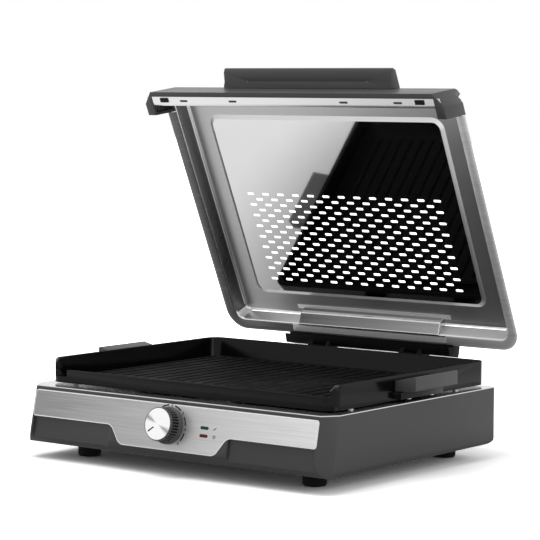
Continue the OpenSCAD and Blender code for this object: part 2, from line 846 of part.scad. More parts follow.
module grill_plate() {
    inner = plate_hw - plate_wall;
    groove_l = surface_y1 - surface_y0 - 2 * groove_end;
    color("#1b1b1b") place() difference() {
        union() {
            difference() {
                intersection() {
                    translate([0, 0, plate_z0]) linear_extrude(plate_z1 - plate_z0)
                        rounded(-plate_hw, plate_y0, plate_hw, plate_y1, plate_r);
                    across(plate_hw) rounded(plate_y0, -far, plate_y1 + far, plate_z1, wall_end_r);
                }
                translate([0, 0, gutter_z]) linear_extrude(far)
                    rounded(-inner, plate_y0 + plate_wall, inner, plate_y1 - plate_wall, plate_r - plate_wall / 2);
                translate([-inner, plate_y0 - 1, curb_z]) cube([2 * inner, plate_r + 4, far]);
                translate([-inner, plate_y0 - 1, gutter_z + notch_h]) cube([notch_w, plate_r + 4, far]);
            }
            translate([0, 0, gutter_z - weld]) linear_extrude(surface_h + weld)
                rounded(-surface_hw, surface_y0, surface_hw, surface_y1, surface_r);
            both_sides() translate([plate_hw - weld, grip_y - grip_l / 2 - 2, ear_z0])
                cube([ear_out + weld, grip_l, ear_z1 - ear_z0]);
            for (s = [-1, 1], y = [plate_y0 + 1, plate_y1 - pad_l - 1])
                translate([s * pad_x - pad_l / 2, y, rim_top + seat]) cube([pad_l, pad_l, gutter_t]);
        }
        translate([0, (surface_y0 + surface_y1) / 2, surface_z - groove_d]) linear_extrude(far)
            groove_place() rotate(90) slot(groove_l, groove_w);
        grip_screw_place() cylinder(r = screw_hole, h = ear_z1 + 1);
    }
}

module grip_screw_place() {
    for (s = [-1, 1], d = [-1, 1])
        translate([s * grip_screw_x, grip_y + d * (grip_l / 2 - grip_screw_in), 0]) children();
}

// Grip on the right; the left one is its mirror image
module plate_grip() {
    x0 = plate_hw + seat;
    x1 = plate_hw + grip_out;
    difference() {
        translate([0, grip_y + grip_l / 2, 0]) rotate([90, 0, 0]) linear_extrude(grip_l)
            polygon([[x0, ear_z1 + 0.2], [x1 - 1, ear_z1 + 2], [x1, ear_z1 + 3], [x1, ear_z1 + 16],
                [x1 - 1, ear_z1 + 17], [x0, ear_z1 + 11.5]]);
        grip_screw_place() translate([0, 0, ear_z1]) cylinder(r = screw_hole, h = 7.5);
    }
}

module plate_handle_left() {
    color("#505050") place() mirror([1, 0, 0]) plate_grip();
}

module plate_handle_right() {
    color("#505050") place() plate_grip();
}

module plate_handle_screws() {
    color("#8a8a8a") place() grip_screw_place() translate([0, 0, ear_z0]) mirror([0, 0, 1])
        screw(ear_z1 - ear_z0 + 6.5, low_head_h);
}

// Lid

// Section of the lid's wall, and of its edge flange if asked for: X is outwards from the fold line
module lid_edge(with_flange) {
    n1 = [sin(flange_a), cos(flange_a)];
    n2 = [cos(draft_a), sin(draft_a)];
    mitre = sheet_t * (n1 + n2) / (1 + n1 * n2);
    top = lid_depth + sheet_t;
    in_top = -lid_draft * top / lid_depth;
    out_top = in_top + sheet_t / cos(draft_a);
    if (with_flange)
        polygon([[flange_w, -flange_drop], [0, 0], [in_top, top], [out_top, top], mitre,
            [flange_w, -flange_drop] + sheet_t * n1]);
    else polygon([[0, 0], [in_top, top], [out_top, top], mitre]);
}

module lid_sides(y_end, with_flange) {
    both_sides() translate([fold_hw, 0, 0]) rotate([90, 0, 0]) translate([0, 0, fold_r])
        linear_extrude(-y_end - fold_r) lid_edge(with_flange);
}

module lid_back() {
    across(fold_hw - fold_r) lid_edge(true);
    both_sides() translate([fold_hw - fold_r, -fold_r, 0]) rotate_extrude(angle = 90)
        translate([fold_r, 0]) lid_edge(true);
}

module slot_place() {
    for (row = [0 : row_n - 1]) {
        n = slot_n - row % 2;
        for (i = [0 : n - 1])
            translate([(i - (n - 1) / 2) * slot_pitch, -row_start - row * row_pitch]) children();
    }
}

module middle(grow) {
    rounded(-mid_hw - grow, -mid_back - mid_l - grow, mid_hw + grow, grow - mid_back, mid_r + grow);
}

// Section of the apron and its lip
module apron_section() {
    d = sheet_t;
    slope = apron_lean / (lid_depth + apron_drop);
    polygon([
        [-lid_l, lid_depth], [apron_bottom, -apron_drop], [lip_front, -apron_drop],
        [lip_front, d - apron_drop], [apron_bottom - d + slope * d, d - apron_drop],
        [-lid_l - d + slope * d, lid_depth + d], [-lid_l + 2 * slope * d, lid_depth + d]
    ]);
}

module lip_slot_place() {
    for (x = [lip_slot_in, lip_slot_out], s = [-1, 1])
        translate([s * x, slot_y, -apron_drop]) children();
}

module bumper_place() {
    for (s = [-1, 1]) translate([s * bumper_x, lip_front + 4, -apron_drop]) children();
}

module lid_shell() {
    in_top = lid_draft - sheet_t / 2;
    top_hw = fold_hw - in_top;
    color("#b4b4b4") on_lid() difference() {
        union() {
            lid_back();
            lid_sides(flange_end, true);
            lid_sides(-lid_l, false);
            difference() {
                translate([0, 0, lid_depth]) linear_extrude(sheet_t) {
                    rounded(-top_hw, -lid_l + fold_r, top_hw, -in_top, fold_r - in_top);
                    translate([-top_hw, -lid_l]) square([2 * top_hw, lid_l / 2]);
                }
                translate([0, 0, lid_depth - 1]) linear_extrude(far) middle(0);
            }
            translate([0, 0, lid_depth - step_h]) linear_extrude(sheet_t) middle(0);
            translate([0, 0, lid_depth - step_h]) linear_extrude(step_h + sheet_t) difference() {
                middle(sheet_t);
                middle(0);
            }
            difference() {
                across(fold_hw) apron_section();
                both_sides() translate([fold_hw + sheet_t / 2, -lid_l - far / 2, 0])
                    rotate([0, -draft_a, 0]) cube(far);
            }
        }
        translate([0, 0, lid_depth - step_h - 1]) linear_extrude(sheet_t + 2) slot_place() slot(slot_l, slot_w);
        lip_slot_place() translate([0, 0, -1]) linear_extrude(sheet_t + 2) slot(hook_l + 1, hook_t + 0.6);
        bumper_place() translate([0, 0, -1]) cylinder(r = bumper_stem_r + 0.1, h = sheet_t + 2);
        bar_screw_place() translate([0, 0, -1]) cylinder(r = screw_hole, h = sheet_t + 2);
    }
}

// Hollow of the pocket between its cover and the lid's back wall
module pocket_hollow() {
    polygon([[-11.2, lid_depth], [-9, 2.4], [-7.2, -0.3], [-4.2, -1.4], [0.9, -0.6], [0, 0],
        [-lid_draft, lid_depth]]);
}

// All that lies outside the lid's inner faces at the back
module outside_lid() {
    polygon([[far, -far * tan(flange_a)], [0, 0], [-lid_draft, lid_depth], [-far, lid_depth], [-far, far],
        [far, far]]);
}

// Strips that lie on the lid for the welds
module pocket_flanges() {
    translate([-15, lid_depth - 2]) square([5, 3]);
    polygon([[-0.5, 2], [-0.5, -sheet_t - seat], [pocket_low_w, -pocket_low_w * tan(flange_a) - sheet_t - seat],
        [pocket_low_w, 2]]);
}

module lid_pocket_cover() {
    hw = pocket_hw + pocket_lap;
    color("#c0c0c0") on_lid() {
        across(pocket_hw) difference() {
            offset(delta = sheet_t) pocket_hollow();
            pocket_hollow();
            offset(delta = seat / 2) outside_lid();
        }
        for (s = [-1, 1]) translate([s * (pocket_hw - sheet_t / 2), 0, 0]) across(sheet_t / 2) difference() {
            offset(delta = sheet_t) pocket_hollow();
            offset(delta = seat / 2) outside_lid();
        }
        across(hw) difference() {
            intersection() {
                pocket_flanges();
                offset(delta = sheet_t + seat / 2) outside_lid();
            }
            offset(delta = seat / 2) outside_lid();
        }
    }
}

// What lies outside the trim's cut corners and above its low ends, moved inwards by w
module outside_trim(w) {
    both_sides() {
        translate([trim_hw, trim_y0 + trim_cut_y, trim_z0]) rotate([0, 0, trim_az]) rotate([0, -trim_tilt, 0])
            translate([-w, -far, -far]) cube(2 * far);
        translate([shell_hw + trim_t - w, -far, side_top - w]) rotate([0, -draft_a, 0]) cube(2 * far);
    }
}

module trim_section() {
    polygon([[trim_y0, trim_z0], [trim_top_y, trim_rise],
        [-lid_l - sheet_t - seat, lid_depth + sheet_t], [-lid_l - sheet_t - seat, side_top],
        [side_top_back, side_top], [trim_side_back, trim_z0]]);
}

// Room taken by the shell's apron and lip, with a seat's clearance
module behind_trim() {
    z = trim_z0 + trim_t + seat;
    polygon([[lip_front - seat, -far], [lip_front - seat, z], [apron_bottom - sheet_t - seat, z],
        [-lid_l - sheet_t - seat, lid_depth], [-lid_l - sheet_t - seat, far], [far, far], [far, -far]]);
}

module lid_front_trim() {
    color("#474747") on_lid() difference() {
        union() {
            difference() {
                across(trim_hw) trim_section();
                outside_trim(0);
                difference() {
                    across(trim_hw - trim_t) offset(delta = -trim_t) trim_section();
                    outside_trim(trim_t);
                }
                across(shell_hw) behind_trim();
            }
            lip_slot_place() {
                translate([-hook_l / 2, trim_y0 + trim_t - slot_y, sheet_t + seat])
                    cube([hook_l, slot_y - trim_y0 - trim_t + hook_t / 2, 3]);
                translate([-hook_l / 2, -hook_t / 2, 0]) cube([hook_l, hook_t, sheet_t + 3]);
            }
        }
        trim_screw_place() {
            translate([0, 0, -trim_t - far]) cylinder(r = head_r + seat, h = far);
            translate([0, 0, -far]) cylinder(r = screw_hole, h = far + 1);
        }
    }
}

module lid_bumpers() {
    color("#202020") on_lid() bumper_place() {
        translate([-5.5, -2.5, -bumper_h]) cube([11, 5, bumper_h]);
        translate([0, 0, -bumper_h / 2]) cylinder(r = bumper_stem_r, h = bumper_h / 2 + sheet_t + 1.5);
        translate([0, 0, sheet_t + 0.1]) cylinder(r = bumper_stem_r + 1, h = 1.4);
    }
}

// Screws of the lid handle, inside the trim's face
module trim_screw_place() {
    translate([0, trim_y0, trim_z0]) rotate([90 - trim_lean, 0, 0])
        for (s = [-1, 1]) translate([s * handle_screw_x, handle_screw_y, 0]) children();
}

module lid_handle() {
    t = tan(trim_lean);
    low = trim_rise - 6.5;
    y1 = trim_top_y - handle_out;
    top_slope = (lid_depth + sheet_t - trim_rise) / (-lid_l - sheet_t - seat - trim_top_y);
    color("#505050") on_lid() difference() {
        across(handle_w / 2) polygon([
            [trim_y0 + (low - trim_z0) * t - seat, low], [trim_top_y - seat, trim_rise + seat / 2],
            [trim_top_y + 5, trim_rise + 5 * top_slope + 1.5 * seat], [trim_top_y + 4, handle_z0 + handle_t],
            [y1 + 4, handle_z0 + handle_t], [y1, handle_z0 + handle_t - 4], [y1, handle_z0 + handle_t / 2],
            [y1 + 3, handle_z0 + 3], [trim_top_y - 8, handle_z0]
        ]);
        trim_screw_place() cylinder(r = screw_hole, h = handle_screw_l + 0.5);
    }
}

module lid_handle_screws() {
    color("#9a9a9a") on_lid() trim_screw_place() translate([0, 0, -trim_t]) mirror([0, 0, 1])
        screw(trim_t + handle_screw_l, head_h);
}

// Screws through the lid's back wall, Z pointing out of the lid
module bar_screw_place() {
    translate([0, -lid_draft * bar_screw_z / lid_depth, bar_screw_z]) rotate([draft_a - 90, 0, 0])
        for (x = [-1, 0, 1]) translate([x * bar_screw_x, 0, 0]) children();
}

// Section of the hinge bar: it hugs the lid's back wall and the edge of its flange
module bar_section() {
    out = sheet_t + seat;
    edge_y = flange_w + out * sin(flange_a) + seat;
    polygon([
        bar_front, bar_low, bar_back, bar_top,
        [out - lid_draft * bar_top[1] / lid_depth, bar_top[1]],
        [out + seat, out],
        [edge_y, -flange_drop + out + 0.1],
        [edge_y, -flange_drop - seat]
    ]);
}

module lid_hinge_bar() {
    color("#161616") on_lid() difference() {
        union() {
            across(bar_hw) bar_section();
            for (s = [-1, 1], d = [-1, 1]) translate([s * lug_x + d * (cheek_x + cheek_t / 2), 0, 0])
                across(cheek_t / 2) {
                    translate([fold_back, -fold_rise]) circle(cheek_r);
                    polygon([bar_front + [5, 1], bar_back - [3, 3], [fold_back + cheek_r, -fold_rise],
                        [fold_back - cheek_r, -fold_rise]]);
                }
        }
        translate([-far / 2, fold_back, -fold_rise]) rotate([0, 90, 0]) cylinder(r = pin_r + run, h = far);
        bar_screw_place() cylinder(r = screw_hole, h = bar_screw_l + 1);
    }
}

module hinge_bar_screws() {
    color("#9a9a9a") on_lid() bar_screw_place() mirror([0, 0, 1]) screw(bar_screw_l, head_h);
}

module hinge_washers() {
    color("#c8b060") on_lid() for (s = [-1, 1], d = [-1, 1])
        translate([s * lug_x + d * (washer_x + washer_t / 2), fold_back, -fold_rise]) rotate([0, 90, 0])
            difference() {
                cylinder(r = cheek_r - 1, h = washer_t, center = true);
                cylinder(r = pin_r + 2 * run, h = washer_t + 1, center = true);
            }
}

base_housing();
bottom_cover();
bottom_screws();
feet();
control_panel();
lamp_lens_green();
lamp_lens_red();
lamp_holders();
thermostat_body();
thermostat_screws();
thermostat_bulb();
reflector_tray();
tray_screws();
heating_element();
element_supports();
terminal_block();
inner_wires();
earth_screw();
cord_gland();
hinge_brackets();
hinge_bracket_screws();
hinge_pins();
thermostat_shaft();
knob_body();
knob_cap();
grill_plate();
plate_handle_left();
plate_handle_right();
plate_handle_screws();
lid_shell();
lid_pocket_cover();
lid_front_trim();
lid_bumpers();
lid_handle();
lid_handle_screws();
lid_hinge_bar();
hinge_bar_screws();
hinge_washers();
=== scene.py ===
# %% [markdown]
# # An electric indoor grill with a steel lid
# The CAD model gives every part its size and its place. This lesson dresses it: rounded
# edges, brushed and polished steel, moulded plastic and cast aluminium with a black coat.
# A real grill is made of pressed sheet, castings and mouldings, and each has its own kind of
# edge, so each is modelled in the way that gives that edge.

# %% Load the frame
import math

import bmesh
import bpy
from mathutils import Matrix, Vector


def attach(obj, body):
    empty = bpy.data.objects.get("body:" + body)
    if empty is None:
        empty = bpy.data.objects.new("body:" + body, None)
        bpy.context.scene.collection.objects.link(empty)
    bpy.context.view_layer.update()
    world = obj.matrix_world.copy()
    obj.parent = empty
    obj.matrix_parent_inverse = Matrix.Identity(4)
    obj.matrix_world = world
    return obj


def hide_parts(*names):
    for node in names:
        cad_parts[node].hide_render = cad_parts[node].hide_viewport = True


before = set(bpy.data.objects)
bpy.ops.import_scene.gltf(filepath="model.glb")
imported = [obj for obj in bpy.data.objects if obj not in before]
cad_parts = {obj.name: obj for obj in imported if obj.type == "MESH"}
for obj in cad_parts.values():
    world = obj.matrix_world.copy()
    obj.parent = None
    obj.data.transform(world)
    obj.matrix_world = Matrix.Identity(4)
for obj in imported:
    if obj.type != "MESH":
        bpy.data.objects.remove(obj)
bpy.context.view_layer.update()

# %% [markdown]
# Three frames make the drawing easy. The control panel and the knob lie on the leaning
# front face, so they are drawn flat and then tipped by 12 degrees. The lid is drawn closed
# and then swung open by 65.2 degrees about its hinge. A matrix could be applied by hand to
# every point, but drawing flat keeps the numbers the ones that a tool maker would use.

# %% Frames and measures
MM = 0.001
SHIFT_Y = -17.2608 * MM
BASE_HALF = Vector((0.200, 0.151, 0.0765))
FRONT_LEAN = math.radians(12)
KNOB_DROP = 25.6 * MM
LID_OPEN = math.radians(65.2)

on_front = Matrix.Translation((0, SHIFT_Y - BASE_HALF.y, BASE_HALF.z)) @ Matrix.Rotation(
    math.radians(90) - FRONT_LEAN, 4, "X")
on_knob = on_front @ Matrix.Translation((0, -KNOB_DROP, 0))
on_lid = (Matrix.Translation((0, SHIFT_Y + 184.4 * MM, 87.4 * MM))
          @ Matrix.Rotation(-LID_OPEN, 4, "X") @ Matrix.Translation((0, -27.2 * MM, 23.6 * MM)))
print("knob centre", [round(v, 4) for v in on_knob.translation])

# %% [markdown]
# Hand modelling starts with three habits: leave edit mode and deselect everything before a
# new primitive, name it at once, and choose faces or edges by where they are. The helpers
# below do just that, so the later cells read as a list of modelling steps.

# %% Helpers for modelling
def fresh():
    """Object mode with nothing selected."""
    if bpy.context.object and bpy.context.object.mode != "OBJECT":
        bpy.ops.object.mode_set(mode="OBJECT")
    bpy.ops.object.select_all(action="DESELECT")


def start(name):
    """Names the primitive that was just added and opens it in edit mode."""
    piece = bpy.context.object
    piece.name = piece.data.name = name
    bpy.ops.object.transform_apply(location=True, rotation=True, scale=True)
    bpy.ops.object.mode_set(mode="EDIT")
    return piece


def pick(kind, test):
    """Selects the verts, edges or faces whose middle and normal (or run) pass the test."""
    bpy.ops.mesh.select_mode(type=kind)
    bpy.ops.mesh.select_all(action="DESELECT")
    mesh = bmesh.from_edit_mesh(bpy.context.object.data)
    mesh.normal_update()
    found = 0
    if kind == "FACE":
        for face in mesh.faces:
            if test(face.calc_center_median(), face.normal):
                face.select_set(True)
                found += 1
    elif kind == "EDGE":
        for edge in mesh.edges:
            a, b = (v.co for v in edge.verts)
            if test((a + b) / 2, b - a):
                edge.select_set(True)
                found += 1
    else:
        for vert in mesh.verts:
            if test(vert.co, vert.normal):
                vert.select_set(True)
                found += 1
    mesh.select_flush_mode()
    bmesh.update_edit_mesh(bpy.context.object.data)
    return found


def modify(piece, kind, **settings):
    """Adds a modifier and applies it."""
    fresh()
    piece.select_set(True)
    bpy.context.view_layer.objects.active = piece
    made = piece.modifiers.new(kind.lower(), kind)
    for key, value in settings.items():
        setattr(made, key, value)
    bpy.ops.object.modifier_apply(modifier=made.name)


def round_edges(piece, width, segments=2, angle=35):
    modify(piece, "BEVEL", width=width, segments=segments, limit_method="ANGLE",
           angle_limit=math.radians(angle), use_clamp_overlap=True)


def cut(piece, cutter):
    """Takes the cutter away from the piece and deletes the cutter."""
    modify(piece, "BOOLEAN", operation="DIFFERENCE", solver="EXACT", object=cutter)
    bpy.data.objects.remove(cutter)


def place(piece, matrix):
    """Puts a piece that was drawn flat into its frame and applies that to the mesh."""
    fresh()
    piece.select_set(True)
    bpy.context.view_layer.objects.active = piece
    piece.matrix_world = matrix
    bpy.ops.object.transform_apply(location=True, rotation=True, scale=True)


def smooth(piece, angle=35):
    fresh()
    piece.select_set(True)
    bpy.context.view_layer.objects.active = piece
    bpy.ops.object.shade_smooth_by_angle(angle=math.radians(angle))


def dress(piece, body, material, nodes=()):
    """Gives a finished piece its material and its CAD body."""
    piece.data.materials.clear()
    piece.data.materials.append(material)
    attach(piece, body)
    if nodes:
        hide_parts(*nodes)
    print(piece.name, len(piece.data.polygons), "faces on", body)
    return piece


def refinish(piece, material, test):
    """Gives another finish to the faces that pass the test."""
    piece.data.materials.append(material)
    for face in piece.data.polygons:
        if test(face):
            face.material_index = len(piece.data.materials) - 1


def join(pieces, into):
    """Makes the pieces one mesh."""
    fresh()
    for piece in pieces:
        piece.select_set(True)
    bpy.context.view_layer.objects.active = into
    bpy.ops.object.join()


def select_all():
    bpy.ops.mesh.select_all(action="SELECT")


def face_out():
    """Turns every face of the open mesh outwards."""
    select_all()
    bpy.ops.mesh.normals_make_consistent(inside=False)


def corners(radius, segments):
    """Rounds the four corners of a plane in edit mode."""
    select_all()
    bpy.ops.mesh.bevel(affect="VERTICES", offset=radius, segments=segments)


def sheet_plane(name, x0, y0, x1, y1, z=0.0):
    """A plane between two corners, given in millimetres, open in edit mode."""
    fresh()
    middle = Vector(((x0 + x1) / 2, (y0 + y1) / 2, z)) * MM
    bpy.ops.mesh.primitive_plane_add(size=1, location=middle)
    bpy.context.object.scale = ((x1 - x0) * MM, (y1 - y0) * MM, 1)
    return start(name)


def block(name, low, high):
    """A box between two corners, given in millimetres, open in edit mode."""
    fresh()
    bpy.ops.mesh.primitive_cube_add(size=1, location=[(a + b) / 2 * MM for a, b in zip(low, high)])
    bpy.context.object.scale = [(b - a) * MM for a, b in zip(low, high)]
    return start(name)


def raise_by(x=0.0, y=0.0, z=0.0):
    """Extrudes the selection by a vector in millimetres."""
    bpy.ops.mesh.extrude_region_move(TRANSFORM_OT_translate={"value": (x * MM, y * MM, z * MM)})


def turned_up(rings):
    """Extrudes the selected circle up through rings of height and radius in millimetres."""
    for (z, r), (next_z, next_r) in zip(rings, rings[1:]):
        raise_by(z=next_z - z)
        bpy.ops.transform.resize(value=(next_r / r, next_r / r, 1), center_override=(0, 0, next_z * MM))


# %% [markdown]
# Camera: a long lens from the front right, a little above the table. The numbers come from
# fitting a pinhole camera to the object's own edges.

# %% Camera
camera_data = bpy.data.cameras.new("camera")
camera_data.lens = 154.5
camera_data.sensor_width = 36.0
camera = bpy.data.objects.new("camera", camera_data)
bpy.context.scene.collection.objects.link(camera)
bpy.context.scene.camera = camera
eye, aim = Vector((1.50416, -1.96518, 0.39498)), Vector((0.00556, -0.01261, 0.20086))
CAMERA_ROLL = math.radians(0.27)
camera.matrix_world = (Matrix.Translation(eye) @ (aim - eye).to_track_quat("-Z", "Y").to_matrix().to_4x4()
                       @ Matrix.Rotation(CAMERA_ROLL, 4, "Z"))
camera_data.clip_start, camera_data.clip_end = 0.1, 60
print("distance to the grill", round((aim - eye).length, 3))

# %% [markdown]
# Light: a product photograph like this one is lit by white walls and large soft boxes. The
# world gives an even fill, and it shows white to the camera and in reflections. Two large
# area lamps give the faces their different tones.

# %% World and lamps
def maths(tree, operation, a, b):
    """A Math node between two values or sockets."""
    node = tree.nodes.new("ShaderNodeMath")
    node.operation = operation
    for value, socket in ((a, node.inputs[0]), (b, node.inputs[1])):
        if isinstance(value, (int, float)):
            socket.default_value = value
        else:
            tree.links.new(value, socket)
    return node.outputs[0]


scene = bpy.context.scene
scene.view_settings.view_transform = "Standard"
world = bpy.data.worlds.new("studio")
scene.world = world
world.use_nodes = True
nodes, links = world.node_tree.nodes, world.node_tree.links
nodes.clear()
FILL_STRENGTH = 0.45
fill = nodes.new("ShaderNodeBackground")
fill.inputs["Strength"].default_value = FILL_STRENGTH
seen = nodes.new("ShaderNodeBackground")
seen.inputs["Color"].default_value = fill.inputs["Color"].default_value = (1, 1, 1, 1)
seen.inputs["Strength"].default_value = 1.0
rays = nodes.new("ShaderNodeLightPath").outputs
shown = maths(world.node_tree, "MAXIMUM", rays["Is Camera Ray"], rays["Is Glossy Ray"])
shown = maths(world.node_tree, "MAXIMUM", shown, rays["Is Transmission Ray"])
choose = nodes.new("ShaderNodeMixShader")
out = nodes.new("ShaderNodeOutputWorld")
links.new(shown, choose.inputs["Fac"])
links.new(fill.outputs[0], choose.inputs[1])
links.new(seen.outputs[0], choose.inputs[2])
links.new(choose.outputs[0], out.inputs["Surface"])


def soft_box(name, spot, target, size, watts):
    lamp = bpy.data.lights.new(name, "AREA")
    lamp.shape = "RECTANGLE"
    lamp.size, lamp.size_y = size
    lamp.energy = watts
    box = bpy.data.objects.new(name, lamp)
    box.matrix_world = (Matrix.Translation(spot)
                        @ (Vector(target) - Vector(spot)).to_track_quat("-Z", "Y").to_matrix().to_4x4())
    scene.collection.objects.link(box)
    return box


soft_box("top_box", (-0.4, -0.3, 2.2), (0, 0, 0.1), (2.2, 1.8), 22)
soft_box("side_box", (2.6, 0.2, 1.2), (0, 0, 0.1), (1.4, 1.6), 14)

# %% [markdown]
# Floor: a large sheet of white paper. A photographer exposes for the grill, so the paper
# burns out to white and only the shadow close to the grill stays. Here the paper is a plain
# matt grey for all light, and paler only for the rays that the camera sees. Further away it
# glows for the camera, so that no horizon shows, and a little for the mirrors. For the
# mirrors it is also painted darker close to the grill, a painted shade round its foot that
# the reflections show. Raising the lamps instead would bleach the grill too.

# %% Floor
PAPER, PAPER_SEEN = 0.82, 1.95
FAR_FROM, FAR_TO = 0.34, 0.80
NEAR_FROM, NEAR_TO, NEAR_PAINTED_SHADE, MIRROR_GLOW = 0.22, 0.46, 0.38, 0.42
PAPER_SIDE = 24
fresh()
bpy.ops.mesh.primitive_plane_add(size=PAPER_SIDE, location=(0, 0, 0))
floor = start("floor")
bpy.ops.mesh.subdivide(number_cuts=3)
fresh()
paper = bpy.data.materials.new("studio_paper")
paper.use_nodes = True
nodes, links = paper.node_tree.nodes, paper.node_tree.links
nodes.clear()


def of_paper(operation, a, b):
    return maths(paper.node_tree, operation, a, b)


rays = nodes.new("ShaderNodeLightPath").outputs
where = nodes.new("ShaderNodeTexCoord")
reach = nodes.new("ShaderNodeVectorMath")
reach.operation = "LENGTH"
links.new(where.outputs["Object"], reach.inputs[0])


def ramp(low, high):
    """A soft step of the distance from the grill's middle."""
    node = nodes.new("ShaderNodeMapRange")
    node.interpolation_type = "SMOOTHSTEP"
    node.inputs["From Min"].default_value, node.inputs["From Max"].default_value = low, high
    links.new(reach.outputs["Value"], node.inputs["Value"])
    return node.outputs["Result"]


far = ramp(FAR_FROM, FAR_TO)
# Painted shade: for the mirrors the paper is darker close to the grill, down to a tone of 0.38.
away = of_paper("ADD", of_paper("MULTIPLY", ramp(NEAR_FROM, NEAR_TO), 1 - NEAR_PAINTED_SHADE), NEAR_PAINTED_SHADE)
mirrored = of_paper("MAXIMUM", rays["Is Glossy Ray"], rays["Is Transmission Ray"])
seen_gain = of_paper("MULTIPLY", rays["Is Camera Ray"], PAPER_SEEN / PAPER - 1)
mirror_painted_shade = of_paper("MULTIPLY", mirrored, of_paper("SUBTRACT", away, 1))
whiteness = of_paper("MULTIPLY", of_paper("ADD", of_paper("ADD", seen_gain, mirror_painted_shade), 1), PAPER)
matt = nodes.new("ShaderNodeBsdfDiffuse")
links.new(whiteness, matt.inputs["Color"])
glow = nodes.new("ShaderNodeEmission")
camera_glow = of_paper("MULTIPLY", rays["Is Camera Ray"], far)
mirror_glow = of_paper("MULTIPLY", mirrored, of_paper("MULTIPLY", away, MIRROR_GLOW))
links.new(of_paper("ADD", camera_glow, mirror_glow), glow.inputs["Strength"])
both = nodes.new("ShaderNodeAddShader")
out = nodes.new("ShaderNodeOutputMaterial")
links.new(matt.outputs[0], both.inputs[0])
links.new(glow.outputs[0], both.inputs[1])
links.new(both.outputs[0], out.inputs["Surface"])
floor.data.materials.append(paper)
print("the paper turns white between", FAR_FROM, "and", FAR_TO, "m")

# %% [markdown]
# Effects that several finishes share are node groups. Each takes a scale and puts out a
# mask for the colour and gloss, and a height for a bump. Five are enough here: the fine
# grain of moulded plastic, the streaks of brushed steel with a painted sheen, a slow change
# of tone that grows lighter towards +X across the sheet, the orange peel of a baked coating,
# the faint cloudy haze that handling leaves on polished metal, and the two fans of light on
# a disc that was turned on a lathe, painted into the colour as a painted reflection.

# %% Shared effects
def group_of(name, build):
    """A node group with Vector and Scale in, Mask and Height out."""
    tree = bpy.data.node_groups.new(name, "ShaderNodeTree")
    tree.interface.new_socket("Vector", in_out="INPUT", socket_type="NodeSocketVector")
    tree.interface.new_socket("Scale", in_out="INPUT", socket_type="NodeSocketFloat")
    tree.interface.new_socket("Mask", in_out="OUTPUT", socket_type="NodeSocketFloat")
    tree.interface.new_socket("Height", in_out="OUTPUT", socket_type="NodeSocketFloat")
    source = tree.nodes.new("NodeGroupInput")
    sink = tree.nodes.new("NodeGroupOutput")
    build(tree, source, sink)
    return tree


def noise(tree, vector, scale, detail, rough=0.55):
    texture = tree.nodes.new("ShaderNodeTexNoise")
    texture.inputs["Detail"].default_value = detail
    texture.inputs["Roughness"].default_value = rough
    tree.links.new(vector, texture.inputs["Vector"])
    if isinstance(scale, (int, float)):
        texture.inputs["Scale"].default_value = scale
    else:
        tree.links.new(scale, texture.inputs["Scale"])
    return texture.outputs["Fac"]


def stretched(tree, vector, factors):
    node = tree.nodes.new("ShaderNodeMapping")
    node.inputs["Scale"].default_value = factors
    tree.links.new(vector, node.inputs["Vector"])
    return node.outputs["Vector"]


def grain(tree, source, sink):
    fine = noise(tree, source.outputs["Vector"], source.outputs["Scale"], 2)
    broad = noise(tree, source.outputs["Vector"], 14, 3)
    tree.links.new(broad, sink.inputs["Mask"])
    tree.links.new(fine, sink.inputs["Height"])


# How far the painted sheen's tone rises across a sheet of this width.
SHEET_SPAN, SHEEN_RISE = 0.38, 0.7


def streaks(tree, source, sink):
    lines = stretched(tree, source.outputs["Vector"], (0.012, 1, 1))
    fine = noise(tree, lines, source.outputs["Scale"], 5, 0.7)
    broad = noise(tree, stretched(tree, source.outputs["Vector"], (0.3, 1, 1)), 30, 2)
    parts = tree.nodes.new("ShaderNodeSeparateXYZ")
    tree.links.new(source.outputs["Vector"], parts.inputs[0])
    # Painted sheen: the tone rises steadily along X, lighter towards +X.
    across = maths(tree, "MULTIPLY", parts.outputs["X"], SHEEN_RISE / SHEET_SPAN)
    mixed = maths(tree, "ADD", maths(tree, "MULTIPLY", fine, 0.5), maths(tree, "MULTIPLY", broad, 0.15))
    mixed = maths(tree, "ADD", mixed, across)
    tree.links.new(mixed, sink.inputs["Mask"])
    tree.links.new(fine, sink.inputs["Height"])


def coating(tree, source, sink):
    peel = noise(tree, source.outputs["Vector"], source.outputs["Scale"], 3, 0.6)
    cells = tree.nodes.new("ShaderNodeTexVoronoi")
    cells.inputs["Scale"].default_value = 900
    tree.links.new(source.outputs["Vector"], cells.inputs["Vector"])
    height = maths(tree, "ADD", peel, maths(tree, "MULTIPLY", cells.outputs["Distance"], 0.4))
    tree.links.new(noise(tree, source.outputs["Vector"], 25, 4), sink.inputs["Mask"])
    tree.links.new(height, sink.inputs["Height"])


def haze(tree, source, sink):
    cloud = noise(tree, source.outputs["Vector"], 9, 4, 0.6)
    waves = noise(tree, source.outputs["Vector"], source.outputs["Scale"], 1)
    tree.links.new(cloud, sink.inputs["Mask"])
    tree.links.new(waves, sink.inputs["Height"])


FAN_TURN, FAN_POWER = math.radians(155), 60
RADII_PER_METRE, HUB = 50, 2.5


